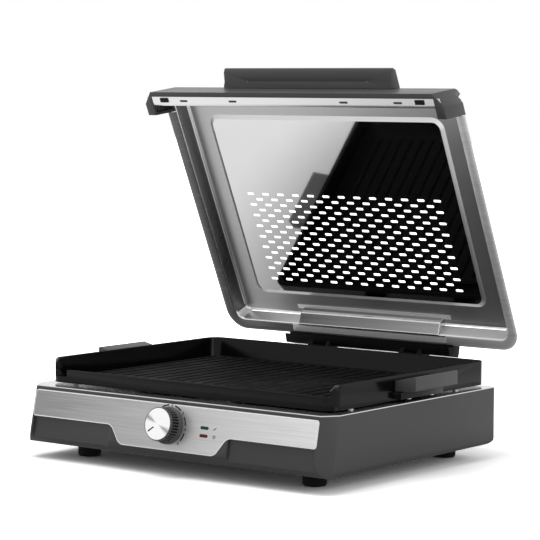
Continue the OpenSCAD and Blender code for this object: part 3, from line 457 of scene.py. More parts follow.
def fans(tree, source, sink):
    """X of the vector is the turn round the disc, and Y the radius, scaled."""
    parts = tree.nodes.new("ShaderNodeSeparateXYZ")
    tree.links.new(source.outputs["Vector"], parts.inputs[0])
    # Painted reflection: two narrow fans across the disc, fading towards its middle.
    turn = maths(tree, "SUBTRACT", maths(tree, "MULTIPLY", parts.outputs["X"], 2 * math.pi), FAN_TURN)
    narrow = maths(tree, "POWER", maths(tree, "ABSOLUTE", maths(tree, "COSINE", turn, 0), 0), FAN_POWER)
    inner = maths(tree, "MINIMUM", maths(tree, "MULTIPLY", parts.outputs["Y"], HUB), 1.0)
    tree.links.new(maths(tree, "MULTIPLY", narrow, inner), sink.inputs["Mask"])
    rings = maths(tree, "MULTIPLY", parts.outputs["Y"], source.outputs["Scale"])
    tree.links.new(maths(tree, "SINE", rings, 0), sink.inputs["Height"])


EFFECTS = {name: group_of(name, build) for name, build in
           (("moulded_grain", grain), ("streaks_and_sheen", streaks), ("baked_coating", coating),
            ("handling_haze", haze), ("painted_fans", fans))}
print("effects", sorted(EFFECTS))


# %% A finish from an effect
def tone(code):
    """A colour as written on screen, such as 4d4d4d, in linear light."""
    parts = [int(code[i:i + 2], 16) / 255 for i in (0, 2, 4)]
    return [p / 12.92 if p <= 0.04045 else ((p + 0.055) / 1.055) ** 2.4 for p in parts] + [1]


def finish_of(name, effect, scale, dark, light, rough, bump, metallic=0.0, specular=0.5, space="Object"):
    """A Principled material whose colour, gloss and bump follow an effect over the surface.
    dark and light are screen colours, rough is the gloss range, bump its strength and depth."""
    material = bpy.data.materials.new(name + "_finish")
    material.use_nodes = True
    tree = material.node_tree
    shader = tree.nodes["Principled BSDF"]
    where = tree.nodes.new("ShaderNodeTexCoord")
    pattern = tree.nodes.new("ShaderNodeGroup")
    pattern.node_tree = EFFECTS[effect]
    pattern.inputs["Scale"].default_value = scale
    tree.links.new(where.outputs[space], pattern.inputs["Vector"])
    colour = tree.nodes.new("ShaderNodeMix")
    colour.data_type = "RGBA"
    colour.inputs["A"].default_value = tone(dark)
    colour.inputs["B"].default_value = tone(light)
    tree.links.new(pattern.outputs["Mask"], colour.inputs["Factor"])
    tree.links.new(colour.outputs["Result"], shader.inputs["Base Color"])
    gloss = tree.nodes.new("ShaderNodeMapRange")
    gloss.inputs["To Min"].default_value, gloss.inputs["To Max"].default_value = rough
    gloss.inputs["From Min"].default_value, gloss.inputs["From Max"].default_value = 0.3, 0.7
    tree.links.new(pattern.outputs["Mask"], gloss.inputs["Value"])
    tree.links.new(gloss.outputs["Result"], shader.inputs["Roughness"])
    relief = tree.nodes.new("ShaderNodeBump")
    relief.inputs["Strength"].default_value, relief.inputs["Distance"].default_value = bump
    tree.links.new(pattern.outputs["Height"], relief.inputs["Height"])
    tree.links.new(relief.outputs["Normal"], shader.inputs["Normal"])
    shader.inputs["Metallic"].default_value = metallic
    shader.inputs["Specular IOR Level"].default_value = specular
    return material


# %% [markdown]
# Finishes. Each plastic, metal and coating of the grill gets one, mixed from an effect with
# its own tones, gloss and depth.

# %% Finishes
PLASTIC = finish_of("housing_plastic", "moulded_grain", 1600, "3c3c3c", "444444", (0.36, 0.46),
                    (0.12, 0.0002), specular=0.35)
TRIM = finish_of("trim_plastic", "moulded_grain", 1600, "424242", "4a4a4a", (0.34, 0.44), (0.12, 0.0002),
                 specular=0.35)
GRIP = finish_of("grip_plastic", "moulded_grain", 1400, "4a4a4a", "525252", (0.42, 0.52), (0.16, 0.0002),
                 specular=0.3)
HINGE = finish_of("hinge_coating", "baked_coating", 700, "070707", "0c0c0c", (0.45, 0.6), (0.15, 0.0002),
                  specular=0.12)
CAST = finish_of("nonstick_coating", "baked_coating", 500, "050505", "0a0a0a", (0.13, 0.2),
                 (0.05, 0.0001), specular=0.16)
CAST_TOP = finish_of("coating_top", "baked_coating", 500, "050505", "0a0a0a", (0.55, 0.7), (0.15, 0.0002),
                     specular=0.03)
# Painted highlight: a lighter, metallic coat for the rounded edges of the plate.
CAST_HIGHLIGHT = finish_of("coating_painted_highlight", "baked_coating", 500, "4c4c4c", "6a6a6a", (0.2, 0.3),
                      (0.05, 0.0001), 0.7)
# Brushed steel: real streaks and a painted sheen, from 949494 to white along X.
BRUSHED_AND_SHEEN = finish_of("brushed_steel", "streaks_and_sheen", 900, "949494", "ffffff", (0.38, 0.5),
                    (0.05, 0.00003), 0.72)
# Painted highlight: a near-white finish for bevels and strips, standing in for catching the light.
HIGHLIGHT_STEEL = finish_of("painted_highlight_edge", "handling_haze", 300, "fafafa", "ffffff", (0.3, 0.36),
                       (0.02, 0.0001), 0.25)
SATIN = finish_of("satin_steel", "handling_haze", 300, "dedede", "e8e8e8", (0.3, 0.35), (0.02, 0.00002),
                  0.95)
# Painted reflection: the flat ring darker than the lid's bends.
RING_REFLECTION = finish_of("ring_painted_reflection", "handling_haze", 300, "b4b4b4", "c0c0c0", (0.28, 0.33), (0.02, 0.00002),
                 0.72)
# Painted reflection: the side walls darker still.
WALL_REFLECTION = finish_of("wall_painted_reflection", "handling_haze", 300, "666666", "727272", (0.26, 0.31), (0.02, 0.00002), 1.0)
# Flange: streaks with a painted sheen, dark grey to white along X.
FLANGE_SHEEN = finish_of("flange_painted_sheen", "streaks_and_sheen", 300, "686868", "ffffff", (0.3, 0.36), (0.02, 0.00002),
                   0.35)
# Painted shade for the pocket's wide faces, dark to light along X.
SHADED = finish_of("pocket_painted_shade", "streaks_and_sheen", 60, "303030", "c8c8c8", (0.14, 0.2), (0.01, 0.00002),
                   0.95)
MIRROR = finish_of("mirror_steel", "handling_haze", 120, "cecece", "d8d8d8", (0.03, 0.05), (0.01, 0.0001),
                   1.0)
POLISHED = finish_of("polished_steel", "handling_haze", 160, "cccccc", "d8d8d8", (0.1, 0.16),
                     (0.01, 0.00004), 0.9)
PLAIN_STEEL = finish_of("plated_steel", "handling_haze", 400, "9a9a9a", "b4b4b4", (0.3, 0.4),
                        (0.05, 0.0002), 1.0)
RUBBER = finish_of("foot_rubber", "moulded_grain", 900, "0c0c0c", "151515", (0.7, 0.85), (0.3, 0.0003),
                   specular=0.25)
KNOB = finish_of("knob_plastic", "moulded_grain", 1500, "484848", "525252", (0.3, 0.4), (0.1, 0.0002),
                 specular=0.4)
# Spun metal with two painted fans of reflection, grey on white.
SPUN_WITH_FANS = finish_of("spun_metal_painted_fans", "painted_fans", 400, "ffffff", "a6a6a6", (0.24, 0.3), (0.02, 0.00003), 0.8,
                 space="UV")
# Printed ink, also used as painted shade in the knob's flutes.
INK_AND_SHADE = finish_of("ink_and_painted_shade", "moulded_grain", 900, "0c0c0c", "141414", (0.5, 0.6), (0.05, 0.0001),
                specular=0.2)
GREEN = finish_of("green_lens", "moulded_grain", 500, "003a20", "005432", (0.25, 0.35), (0.05, 0.0001),
                  specular=0.25)
RED = finish_of("red_lens", "moulded_grain", 500, "560812", "74101c", (0.25, 0.35), (0.05, 0.0001),
                specular=0.25)
CERAMIC = finish_of("ceramic", "baked_coating", 600, "dcd6c8", "ebe6da", (0.45, 0.6), (0.2, 0.0003))
COPPER = finish_of("copper", "handling_haze", 500, "a06a40", "c08a5a", (0.25, 0.35), (0.08, 0.0002), 1.0)
BRASS = finish_of("brass", "handling_haze", 500, "b09a58", "cbb878", (0.25, 0.35), (0.08, 0.0002), 1.0)
HEATER = finish_of("heating_tube", "baked_coating", 700, "3c3734", "5c5450", (0.45, 0.6), (0.2, 0.0003),
                   0.8)
WIRE = finish_of("wire_sleeve", "moulded_grain", 900, "8c2018", "a83228", (0.4, 0.5), (0.1, 0.0002))
COVER = finish_of("bottom_cover", "baked_coating", 500, "262626", "323232", (0.45, 0.6), (0.2, 0.0003))
print(len(bpy.data.materials), "materials")

# %% [markdown]
# The CAD nodes that stay are small or hidden: screws, pins, the heater and its supports,
# the tray, the wiring. Their meshes are right as they are, so they only get a finish.

# %% Finish the CAD nodes that stay
NODE_FINISH = {
    "bottom_cover": COVER, "bottom_screws": PLAIN_STEEL, "lamp_holders": CERAMIC, "thermostat_body": CERAMIC,
    "thermostat_screws": PLAIN_STEEL, "thermostat_bulb": COPPER, "reflector_tray": POLISHED,
    "tray_screws": PLAIN_STEEL, "heating_element": HEATER, "element_supports": PLAIN_STEEL,
    "terminal_block": CERAMIC, "inner_wires": WIRE, "earth_screw": BRASS, "cord_gland": RUBBER,
    "hinge_bracket_screws": PLAIN_STEEL, "hinge_pins": PLAIN_STEEL, "thermostat_shaft": PLAIN_STEEL,
    "plate_handle_screws": PLAIN_STEEL, "lid_bumpers": RUBBER, "lid_handle_screws": PLAIN_STEEL,
    "hinge_bar_screws": PLAIN_STEEL, "hinge_washers": BRASS,
}
for name, material in NODE_FINISH.items():
    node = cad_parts[name]
    node.data.materials.clear()
    node.data.materials.append(material)
print(len(NODE_FINISH), "CAD nodes keep their mesh")

# %% [markdown]
# Castings and mouldings. The housing, the grill plate, the handles, the lid's trim and the
# hinge parts already have their full shape in the CAD, with sharp edges. A mould can't make
# a sharp edge, so a copy of each is merged, its flat faces are joined, and a narrow bevel
# rounds every edge. Modelling them again from a cube would only repeat the CAD's work. The
# narrow upward faces of the rounded edges on the plate's ribs and rim get a lighter, metallic
# finish, a painted highlight, and the coat is dull on the flat tops, where food and scrapers
# rub it.

# %% Soften the moulded and cast parts
MERGE_WITHIN, FLAT_WITHIN = 0.00002, math.radians(0.8)


def softened(node, name, width):
    """A copy of a CAD node with joined flat faces and rounded edges."""
    fresh()
    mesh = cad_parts[node].data.copy()
    piece = bpy.data.objects.new(name, mesh)
    scene.collection.objects.link(piece)
    piece.select_set(True)
    bpy.context.view_layer.objects.active = piece
    bpy.ops.object.mode_set(mode="EDIT")
    select_all()
    bpy.ops.mesh.remove_doubles(threshold=MERGE_WITHIN)
    bpy.ops.mesh.dissolve_limited(angle_limit=FLAT_WITHIN)
    round_edges(piece, width)
    smooth(piece)
    return piece


SOFT_PARTS = [
    # node, piece, edge radius, body, finish, slot
    ("base_housing", "housing", 0.0009, "base", PLASTIC, "housing_plastic"),
    ("grill_plate", "cooking_plate", 0.0010, "plate", CAST, "cast_black"),
    ("plate_handle_left", "plate_grip_left", 0.0012, "plate", GRIP, "grip_plastic"),
    ("plate_handle_right", "plate_grip_right", 0.0012, "plate", GRIP, "grip_plastic"),
    ("lid_front_trim", "lid_trim", 0.0009, "lid", TRIM, "trim_plastic"),
    ("lid_handle", "lid_grip", 0.0014, "lid", GRIP, "grip_plastic"),
    ("lid_hinge_bar", "hinge_bar", 0.0010, "lid", HINGE, "hinge_black"),
    ("hinge_brackets", "hinge_lugs", 0.0008, "base", HINGE, "hinge_black"),
]
for node, name, width, body, material, slot in SOFT_PARTS:
    dress(softened(node, name, width), body, material, [node])
plate = bpy.data.objects["cooking_plate"]
EDGE_WIDTH, EDGE_UP, TOP_UP = 0.0009, 0.3, 0.97


def narrow(face):
    ends = [plate.data.vertices[v].co for v in face.vertices]
    return face.area / max((a - b).length for a, b in zip(ends, ends[1:] + ends[:1])) < EDGE_WIDTH


# Painted highlight on the narrow upward faces of the rounded edges.
refinish(plate, CAST_HIGHLIGHT, lambda face: face.normal.z > EDGE_UP and narrow(face))
refinish(plate, CAST_TOP, lambda face: face.normal.z > TOP_UP)

# %% [markdown]
# Lid sheet. One sheet of steel is pressed into a shallow tray: a flat ring, walls that lean
# in, a sloping edge flange on three sides, and at the front an apron with a lip for the
# trim. The bends are soft. The walls and the rolled flange are one section that runs up the
# left side, round the back corners and down the right side, so the section is drawn once
# and then extruded and spun along that path.

# %% Lid walls and flange
FOLD_HW, LID_L, LID_DEPTH, SHEET_T = 188.2, 284.8, 17.0, 0.8
CORNER_R, FLANGE_END = 12.0, -269.3
# Section outwards from the fold line, from the flat ring to the rolled edge
SECTION = [(-9.4, 17.0), (-8.6, 17.0), (-6.4, 16.95), (-5.2, 16.5), (-4.3, 15.6), (-3.9, 14.4), (-2.6, 9.4),
           (-0.7, 2.2), (-0.2, 0.9), (0.6, 0.1), (1.6, -0.45), (3.6, -1.15), (6.0, -1.7), (8.2, -1.95),
           (10.0, -1.85), (11.4, -1.3), (12.3, -0.6)]


def section_line(name, x, y, points, outwards):
    """A line of vertices through the section, standing on the lid's edge."""
    fresh()
    bpy.ops.mesh.primitive_plane_add(size=1)
    piece = start(name)
    bpy.ops.mesh.merge(type="CENTER")
    select_all()
    first = Vector((x + outwards * points[0][0], y, points[0][1])) * MM
    bpy.ops.transform.translate(value=first)
    for (a, b), (c, d) in zip(points, points[1:]):
        bpy.ops.mesh.extrude_region_move(
            TRANSFORM_OT_translate={"value": (outwards * (c - a) * MM, 0, (d - b) * MM)})
    select_all()
    return piece


CORNER_STEPS = 8
lid = section_line("lid_sheet", -FOLD_HW, FLANGE_END, SECTION, -1)
raise_by(y=-CORNER_R - FLANGE_END)
bpy.ops.mesh.spin(steps=CORNER_STEPS, angle=math.radians(90), axis=(0, 0, 1),
                  center=((-FOLD_HW + CORNER_R) * MM, -CORNER_R * MM, 0))
raise_by(x=2 * (FOLD_HW - CORNER_R))
bpy.ops.mesh.spin(steps=CORNER_STEPS, angle=math.radians(90), axis=(0, 0, 1),
                  center=((FOLD_HW - CORNER_R) * MM, -CORNER_R * MM, 0))
raise_by(y=FLANGE_END + CORNER_R)
# The flange stops at the trim, and the walls run on to the front bend
RING_END = -LID_L + 3
for side in (-1, 1):
    pick("EDGE", lambda m, d: abs(m.y - FLANGE_END * MM) < 1e-6 and m.x * side > 0
         and m.z > 0.0004 and abs(d.y) < 1e-6)
    raise_by(y=RING_END - FLANGE_END)
select_all()
bpy.ops.mesh.remove_doubles(threshold=1e-6)
print("walls", len(lid.data.polygons), [round(v * 1000, 1) for v in lid.dimensions])

# %% [markdown]
# The flat ring is closed to the step round the middle panel by one fill between two
# outlines. The step itself comes from insetting the panel's face a little at a time, each
# time lower, which gives a pressed edge with soft shoulders and keeps the panel flat.

# %% Ring, step and middle panel
MID_HW, MID_BACK, MID_L, MID_R = 158.0, 30.1, 227.6, 13.0
STEP_OUT = 1.2
# Width and drop of each inset across the step
STEP_INSETS = [(0.4, 0.0), (0.5, 0.14), (2.7, 1.3), (0.5, 0.06), (0.6, 0.36), (0.5, 0.14)]
RING_EDGE = FOLD_HW + SECTION[0][0]
pick("VERT", lambda v, n: abs(v.y - RING_END * MM) < 1e-6 and abs(abs(v.x) - RING_EDGE * MM) < 1e-6)
bpy.ops.mesh.edge_face_add()
bpy.ops.mesh.primitive_plane_add(size=1, location=(0, (-MID_BACK - MID_L / 2) * MM, LID_DEPTH * MM))
bpy.ops.transform.resize(value=(2 * (MID_HW + STEP_OUT) * MM, (MID_L + 2 * STEP_OUT) * MM, 1),
                         center_override=(0, (-MID_BACK - MID_L / 2) * MM, LID_DEPTH * MM))
bpy.ops.mesh.bevel(affect="VERTICES", offset=(MID_R + STEP_OUT) * MM, segments=8)
bpy.ops.mesh.select_mode(type="FACE")
bpy.ops.mesh.flip_normals()
for width, drop in STEP_INSETS:
    bpy.ops.mesh.inset(thickness=width * MM, depth=drop * MM)
panel_inset = sum(width for width, drop in STEP_INSETS) - STEP_OUT
panel_drop = sum(drop for width, drop in STEP_INSETS)
pick("FACE", lambda m, n: abs(m.x) < 0.001 and abs(m.z - (LID_DEPTH - panel_drop) * MM) < 1e-5)
bpy.ops.mesh.delete(type="ONLY_FACE")
top = LID_DEPTH * MM - 1e-6
mesh = bmesh.from_edit_mesh(lid.data)
bpy.ops.mesh.select_all(action="DESELECT")
bpy.ops.mesh.select_mode(type="EDGE")
for edge in mesh.edges:
    if edge.is_boundary or edge.is_wire:
        (x0, y0, z0), (x1, y1, z1) = (v.co for v in edge.verts)
        at_bend = max(y0, y1) < (RING_END + 0.01) * MM and abs(x0 + x1) / 2 > RING_EDGE * MM
        if min(z0, z1) > top and not at_bend:
            edge.select_set(True)
bmesh.update_edit_mesh(lid.data)
bpy.ops.mesh.fill(use_beauty=True)
print("step width", round(panel_inset + STEP_OUT, 2), "depth", round(panel_drop, 2))

# %% [markdown]
# Apron and lip. The ring's front edge is extruded over the bend, down the apron and
# forwards to the lip, and each new edge is widened to meet the leaning walls.

# %% Apron and lip
APRON_DROP, LIP_FRONT = 32.0, -303.1
wall_lean = 4.4 / LID_DEPTH
APRON = [(-282.3, 17.0), (-283.4, 16.8), (-284.6, 16.1), (-285.3, 14.9), (-287.6, 0.0), (-291.2, -29.4),
         (-291.8, -31.0), (-293.2, -31.9), (-295.5, -APRON_DROP), (LIP_FRONT, -APRON_DROP)]
pick("EDGE", lambda m, d: abs(m.y - RING_END * MM) < 1e-6 and abs(m.z - LID_DEPTH * MM) < 1e-6)
y, z, half = RING_END, LID_DEPTH, FOLD_HW + SECTION[1][0]
for next_y, next_z in APRON:
    raise_by(y=next_y - y, z=next_z - z)
    next_half = FOLD_HW - next_z * wall_lean
    bpy.ops.transform.resize(value=(next_half / half, 1, 1), center_override=(0, next_y * MM, next_z * MM))
    y, z, half = next_y, next_z, next_half
face_out()
fresh()
print("lid sheet", len(lid.data.polygons), "faces")

# %% [markdown]
# Slots. A slot is a small plane with its corners rounded, given height, and copied to each
# place. All copies together are one cutter for a boolean. Drawing the holes as a picture on
# the panel would be quicker, but the light has to come through them. The faces of the one
# lid sheet get four finishes: the flat ring a darker tone than its bends and the side walls
# a darker tone still, a painted reflection of the dark plate, and the flange streaks with a
# painted sheen that grows lighter towards +X.

# %% Slots in the panel and the lip
def slot_cutter(name, places, length, width, z0, z1):
    """One cutter of equal slots at all the places, between two heights in millimetres."""
    piece = sheet_plane(name, -length / 2, -width / 2, length / 2, width / 2, z0)
    corners(width / 2 * 0.98 * MM, 4)
    select_all()
    raise_by(z=z1 - z0)
    select_all()
    bpy.ops.mesh.remove_doubles(threshold=1e-6)
    face_out()
    x, y = places[0]
    bpy.ops.transform.translate(value=(x * MM, y * MM, 0))
    for next_x, next_y in places[1:]:
        step = ((next_x - x) * MM, (next_y - y) * MM, 0)
        bpy.ops.mesh.duplicate_move(TRANSFORM_OT_translate={"value": step})
        x, y = next_x, next_y
    fresh()
    return piece


ROW_N, SLOT_N, SLOT_PITCH, ROW_PITCH, ROW_START = 17, 13, 21.25, 6.88, 49.7
vents = [((i - (SLOT_N - row % 2 - 1) / 2) * SLOT_PITCH, -ROW_START - row * ROW_PITCH)
         for row in range(ROW_N) for i in range(SLOT_N - row % 2)]
print(len(vents), "vent slots")

panel = sheet_plane("lid_mirror", -MID_HW + panel_inset, -MID_BACK - MID_L + panel_inset,
                    MID_HW - panel_inset, -MID_BACK - panel_inset, LID_DEPTH - panel_drop)
corners((MID_R - panel_inset) * MM, 8)
select_all()
bpy.ops.mesh.flip_normals()
fresh()
for piece in (panel, lid):
    modify(piece, "SOLIDIFY", thickness=SHEET_T * MM, offset=-1.0)
cut(panel, slot_cutter("vent_cutter", vents, 9.6, 3.0, 12, 19))
LIP_SLOTS = [(x, -298.1) for x in (-143.8, -74.6, 74.6, 143.8)]
cut(lid, slot_cutter("lip_cutter", LIP_SLOTS, 11, 2.5, -34, -29))
for piece in (lid, panel):
    place(piece, on_lid)
    smooth(piece, 40)
    modify(piece, "WEIGHTED_NORMAL", keep_sharp=True, weight=80)
dress(lid, "lid", SATIN, ["lid_shell"])
dress(panel, "lid", MIRROR)


def spot_of(face):
    """The face's middle in the lid's own frame, in millimetres."""
    return on_lid.inverted() @ face.center / MM


def lies(face, axis, limit):
    """Whether the face looks along an axis of the lid's own frame, 0 across it and 2 up."""
    return abs((on_lid.to_3x3().inverted() @ face.normal).normalized()[axis]) > limit


# Painted reflection of the dark plate on the flat ring.
refinish(lid, RING_REFLECTION, lambda face: lies(face, 2, 0.999) and abs(spot_of(face).z - LID_DEPTH) < 1)
# Painted reflection of the dark plate on the side walls.
refinish(lid, WALL_REFLECTION, lambda face: lies(face, 0, 0.9) and 1 < spot_of(face).z < 15
         and spot_of(face).y > -LID_L)
# Painted sheen on the flange.
refinish(lid, FLANGE_SHEEN, lambda face: spot_of(face).z < 0 and spot_of(face).y > FLANGE_END)

# %% [markdown]
# Pocket cover. Behind it run the ends of the lid's hinge screws. It is a folded channel
# spot-welded to the ring and to the edge flange. The channel starts as a box whose corners
# are moved to the folds and then rounded, and its flanges are thin strips with the small
# rings that the welding tips leave. Its wide faces look down into the dark between lid and
# base, so they get a painted shade that grows lighter towards +X, and the strips along its
# edges a near-white painted highlight.

# %% Pocket cover
POCKET_HW, POCKET_LAP = 96.8, 8.8
POCKET = [(-12.6, 16.9), (-12.4, 9.6), (-11.2, 7.2), (-0.9, -1.9), (1.1, -1.9), (0.6, 0.2), (-3.5, 16.8)]


def bar_of(name, outline, half):
    """A bar whose side view is the outline in Y and Z, extruded across the width."""
    fresh()
    bpy.ops.mesh.primitive_circle_add(vertices=len(outline), radius=1, fill_type="NGON")
    piece = start(name)
    mesh = bmesh.from_edit_mesh(piece.data)
    for vert, (y, z) in zip(mesh.verts, outline):
        vert.co = Vector((-half, y, z)) * MM
    bmesh.update_edit_mesh(piece.data)
    select_all()
    raise_by(x=2 * half)
    face_out()
    return piece


pocket = bar_of("pocket_cover", POCKET, POCKET_HW)
fresh()
round_edges(pocket, 0.0016, 4, 12)
FLANGE_SLOPE = 1.9 / 8.2
strips = []
for name, outline in (
        ("ring_strip", [(-16.0, 16.85), (-16.0, 16.1), (-11.0, 16.1), (-11.0, 16.85)]),
        ("edge_strip", [(-0.5, -0.9), (-0.2, -1.4), (1.4, -1.5), (8.2, -8.2 * FLANGE_SLOPE - 1.2),
                        (8.3, -8.2 * FLANGE_SLOPE - 0.3), (1.2, -0.7)])):
    strip = bar_of(name, outline, POCKET_HW + POCKET_LAP)
    fresh()
    round_edges(strip, 0.0002, 2, 25)
    strips.append(strip)
# Weld marks: four on the edge strip and two on the ring strip
tilt = Matrix.Rotation(-math.atan(FLANGE_SLOPE), 4, "X")
marks = [(x, 4.6, -4.6 * FLANGE_SLOPE - 1.0, tilt) for x in (-92, -34, 24, 82)]
marks += [(x, -13.6, 16.1, Matrix.Identity(4)) for x in (-64, 48)]
for x, y, z, turn in marks:
    fresh()
    bpy.ops.mesh.primitive_torus_add(major_radius=1.7 * MM, minor_radius=0.35 * MM, major_segments=20,
                                     minor_segments=8)
    ring = bpy.context.object
    place(ring, Matrix.Translation(Vector((x, y, z)) * MM) @ turn @ Matrix.Diagonal((1.2, 1, 0.6, 1)))
    strips.append(ring)
join(strips + [pocket], pocket)
place(pocket, on_lid)
smooth(pocket, 40)
dress(pocket, "lid", POLISHED, ["lid_pocket_cover"])
WIDE_FACE, STRIP_FRONT, STRIP_BACK = 0.0008, 1.25, -12.9
# Painted shade on the wide faces.
refinish(pocket, SHADED, lambda face: face.area > WIDE_FACE)
# Painted highlight on the strips.
refinish(pocket, HIGHLIGHT_STEEL, lambda face: not STRIP_BACK <= spot_of(face).y <= STRIP_FRONT)

# %% [markdown]
# Control panel. A brushed steel sheet with a tab in the middle that drops round the knob.
# Its cut edge gets a white finish, a painted highlight, and the sheet a painted sheen that
# grows lighter towards +X. The sheet is a plane split in two places so that its lower edge
# can be pulled down, with the corners rounded. An inset of the face that rises a little
# makes the bevel, and every face that doesn't look straight ahead gets the painted highlight.

# %% Control panel
PANEL_HW, PANEL_TOP, PANEL_H = 187.3, 3.3, 28.4
TAB_HW, TAB_LOW_HW, TAB_H = 77.0, 63.0, 19.3
PANEL_BACK, PANEL_RIM, PANEL_FACE, EDGE_W = -0.9, 0.02, 0.3, 1.1
sheet = sheet_plane("panel_sheet", -PANEL_HW, -PANEL_TOP - PANEL_H, PANEL_HW, -PANEL_TOP, PANEL_BACK)
for x in (-TAB_HW, TAB_HW):
    select_all()
    bpy.ops.mesh.bisect(plane_co=(x * MM, 0, 0), plane_no=(1, 0, 0))
low = (-PANEL_TOP - PANEL_H) * MM
pick("EDGE", lambda m, d: abs(m.x) < 0.001 and abs(m.y - low) < 1e-6)
raise_by(y=-TAB_H)
bpy.ops.transform.resize(value=(TAB_LOW_HW / TAB_HW, 1, 1), center_override=(0, 0, 0))
select_all()
bpy.ops.mesh.dissolve_limited(angle_limit=math.radians(1))
pick("VERT", lambda v, n: abs(v.x) < (TAB_HW + 1) * MM)
bpy.ops.mesh.bevel(affect="VERTICES", offset=5.0 * MM, segments=8)
pick("VERT", lambda v, n: abs(v.x) > (PANEL_HW - 0.1) * MM)
bpy.ops.mesh.bevel(affect="VERTICES", offset=3.2 * MM, segments=6)
select_all()
raise_by(z=PANEL_RIM - PANEL_BACK)
bpy.ops.mesh.inset(thickness=EDGE_W * MM, depth=(PANEL_FACE - PANEL_RIM) * MM)
face_out()
fresh()
LAMP_X, LAMP_Y, LAMP_PITCH, LAMP_L, LAMP_H = 47.0, -23.7, 8.0, 10.5, 3.0
LAMPS = [(LAMP_X, LAMP_Y), (LAMP_X, LAMP_Y - LAMP_PITCH)]
cut(sheet, slot_cutter("lamp_cutter", LAMPS, LAMP_L + 0.3, LAMP_H + 0.3, -4, 4))
fresh()
bpy.ops.mesh.primitive_cylinder_add(vertices=32, radius=5.3 * MM, depth=10 * MM,
                                    location=(0, -KNOB_DROP, 0))
cut(sheet, bpy.context.object)
place(sheet, on_front)
smooth(sheet, 8)
# The sheet's finish carries a painted sheen, lighter towards +X.
dress(sheet, "base", BRUSHED_AND_SHEEN, ["control_panel"])
ahead = (on_front.to_3x3() @ Vector((0, 0, 1))).normalized()
# Painted highlight on the cut edge and every bevel face.
refinish(sheet, HIGHLIGHT_STEEL, lambda face: face.normal.dot(ahead) < 0.99)

# %% [markdown]
# Knob. The grip is a short skirt and a fluted body. A circle is extruded upwards ring by
# ring, and every other group of vertices is pulled towards the axis to make the flutes,
# which fade out before the skirt and before the cap. Hardly any light reaches the floor of
# a flute, so its faces get the black of the printed ink as painted shade.

# %% Knob grip
FLUTES, PER_FLUTE = 34, 8
FLUTE_LOW, FLUTE_HIGH = 5.5, 14.4
# Height above the housing, radius, depth of the flutes
KNOB_RINGS = [(0.8, 18.9, 0), (1.1, 19.2, 0), (2.6, 19.2, 0), (3.0, 18.9, 0), (3.2, 17.9, 0),
              (3.6, 17.6, 0), (3.9, 17.6, 0), (4.3, 18.3, 0), (5.0, 18.4, 0), (5.4, 18.2, 0),
              (5.6, 17.9, 0.6), (6.0, 17.8, 1.9), (13.8, 17.4, 1.9), (14.3, 17.35, 0.6),
              (14.7, 17.3, 0), (16.9, 17.2, 0), (17.6, 17.05, 0), (18.0, 16.8, 0), (18.0, 16.4, 0),
              (17.3, 16.4, 0)]
fresh()
bpy.ops.mesh.primitive_circle_add(vertices=FLUTES * PER_FLUTE, radius=1)
knob = start("knob_grip")
select_all()
bpy.ops.transform.resize(value=(KNOB_RINGS[0][1] * MM, KNOB_RINGS[0][1] * MM, 1))
bpy.ops.transform.translate(value=(0, 0, KNOB_RINGS[0][0] * MM))
turned_up([ring[:2] for ring in KNOB_RINGS])
bpy.ops.mesh.edge_face_add()
mesh = bmesh.from_edit_mesh(knob.data)
for next_z, next_r, depth in KNOB_RINGS:
    if depth:
        for vert in mesh.verts:
            if abs(vert.co.z - next_z * MM) < 1e-6:
                turn = math.atan2(vert.co.y, vert.co.x) * FLUTES
                pull = depth * (0.5 + 0.5 * math.cos(turn)) ** 0.8
                vert.co.xy *= (next_r - pull) / next_r
bmesh.update_edit_mesh(knob.data)
face_out()
place(knob, on_knob)
smooth(knob, 50)
dress(knob, "knob", KNOB, ["knob_body"])


def in_flute(face):
    x, y, z = on_knob.inverted() @ face.center / MM
    return FLUTE_LOW < z < FLUTE_HIGH and math.cos(math.atan2(y, x) * FLUTES) > 0


# Painted shade: the flute floors get the black ink finish.
refinish(knob, INK_AND_SHADE, in_flute)

# %% [markdown]
# Cap. A disc of spun metal is pressed into the knob. Its turned face has fine rings, which
# stretch every highlight into a fan. The two fans are painted into the finish's colour as
# grey wedges, a painted reflection, and its UV map runs round the disc to place them. A short
# dark line on it shows the setting.

# %% Knob cap and pointer
CAP_R, CAP_TOP = 16.35, 18.0
fresh()
bpy.ops.mesh.primitive_circle_add(vertices=96, radius=CAP_R * MM, fill_type="NGON",
                                  location=(0, 0, (CAP_TOP - 0.7) * MM))
cap = start("knob_disc")
select_all()
raise_by(z=0.5)
bpy.ops.mesh.inset(thickness=0.35 * MM, depth=0.2 * MM)
for ring in (3.2, 3.8, 4.2, 4.2):
    bpy.ops.mesh.inset(thickness=ring * MM)
bpy.ops.mesh.poke()
face_out()
fresh()
cap.data.uv_layers.remove(cap.data.uv_layers[0])
round_uv = cap.data.uv_layers.new(name="round")
for face in cap.data.polygons:
    middle = math.atan2(face.center.y, face.center.x)
    for corner in face.loop_indices:
        co = cap.data.vertices[cap.data.loops[corner].vertex_index].co
        angle = math.atan2(co.y, co.x) if co.xy.length > 1e-5 else middle
        while angle - middle > math.pi:
            angle -= 2 * math.pi
        while middle - angle > math.pi:
            angle += 2 * math.pi
        round_uv.data[corner].uv = (angle / (2 * math.pi), co.xy.length * RADII_PER_METRE)
place(cap, on_knob)
smooth(cap, 30)
# The finish paints two grey fans of reflection on the cap.
dress(cap, "knob", SPUN_WITH_FANS, ["knob_cap"])

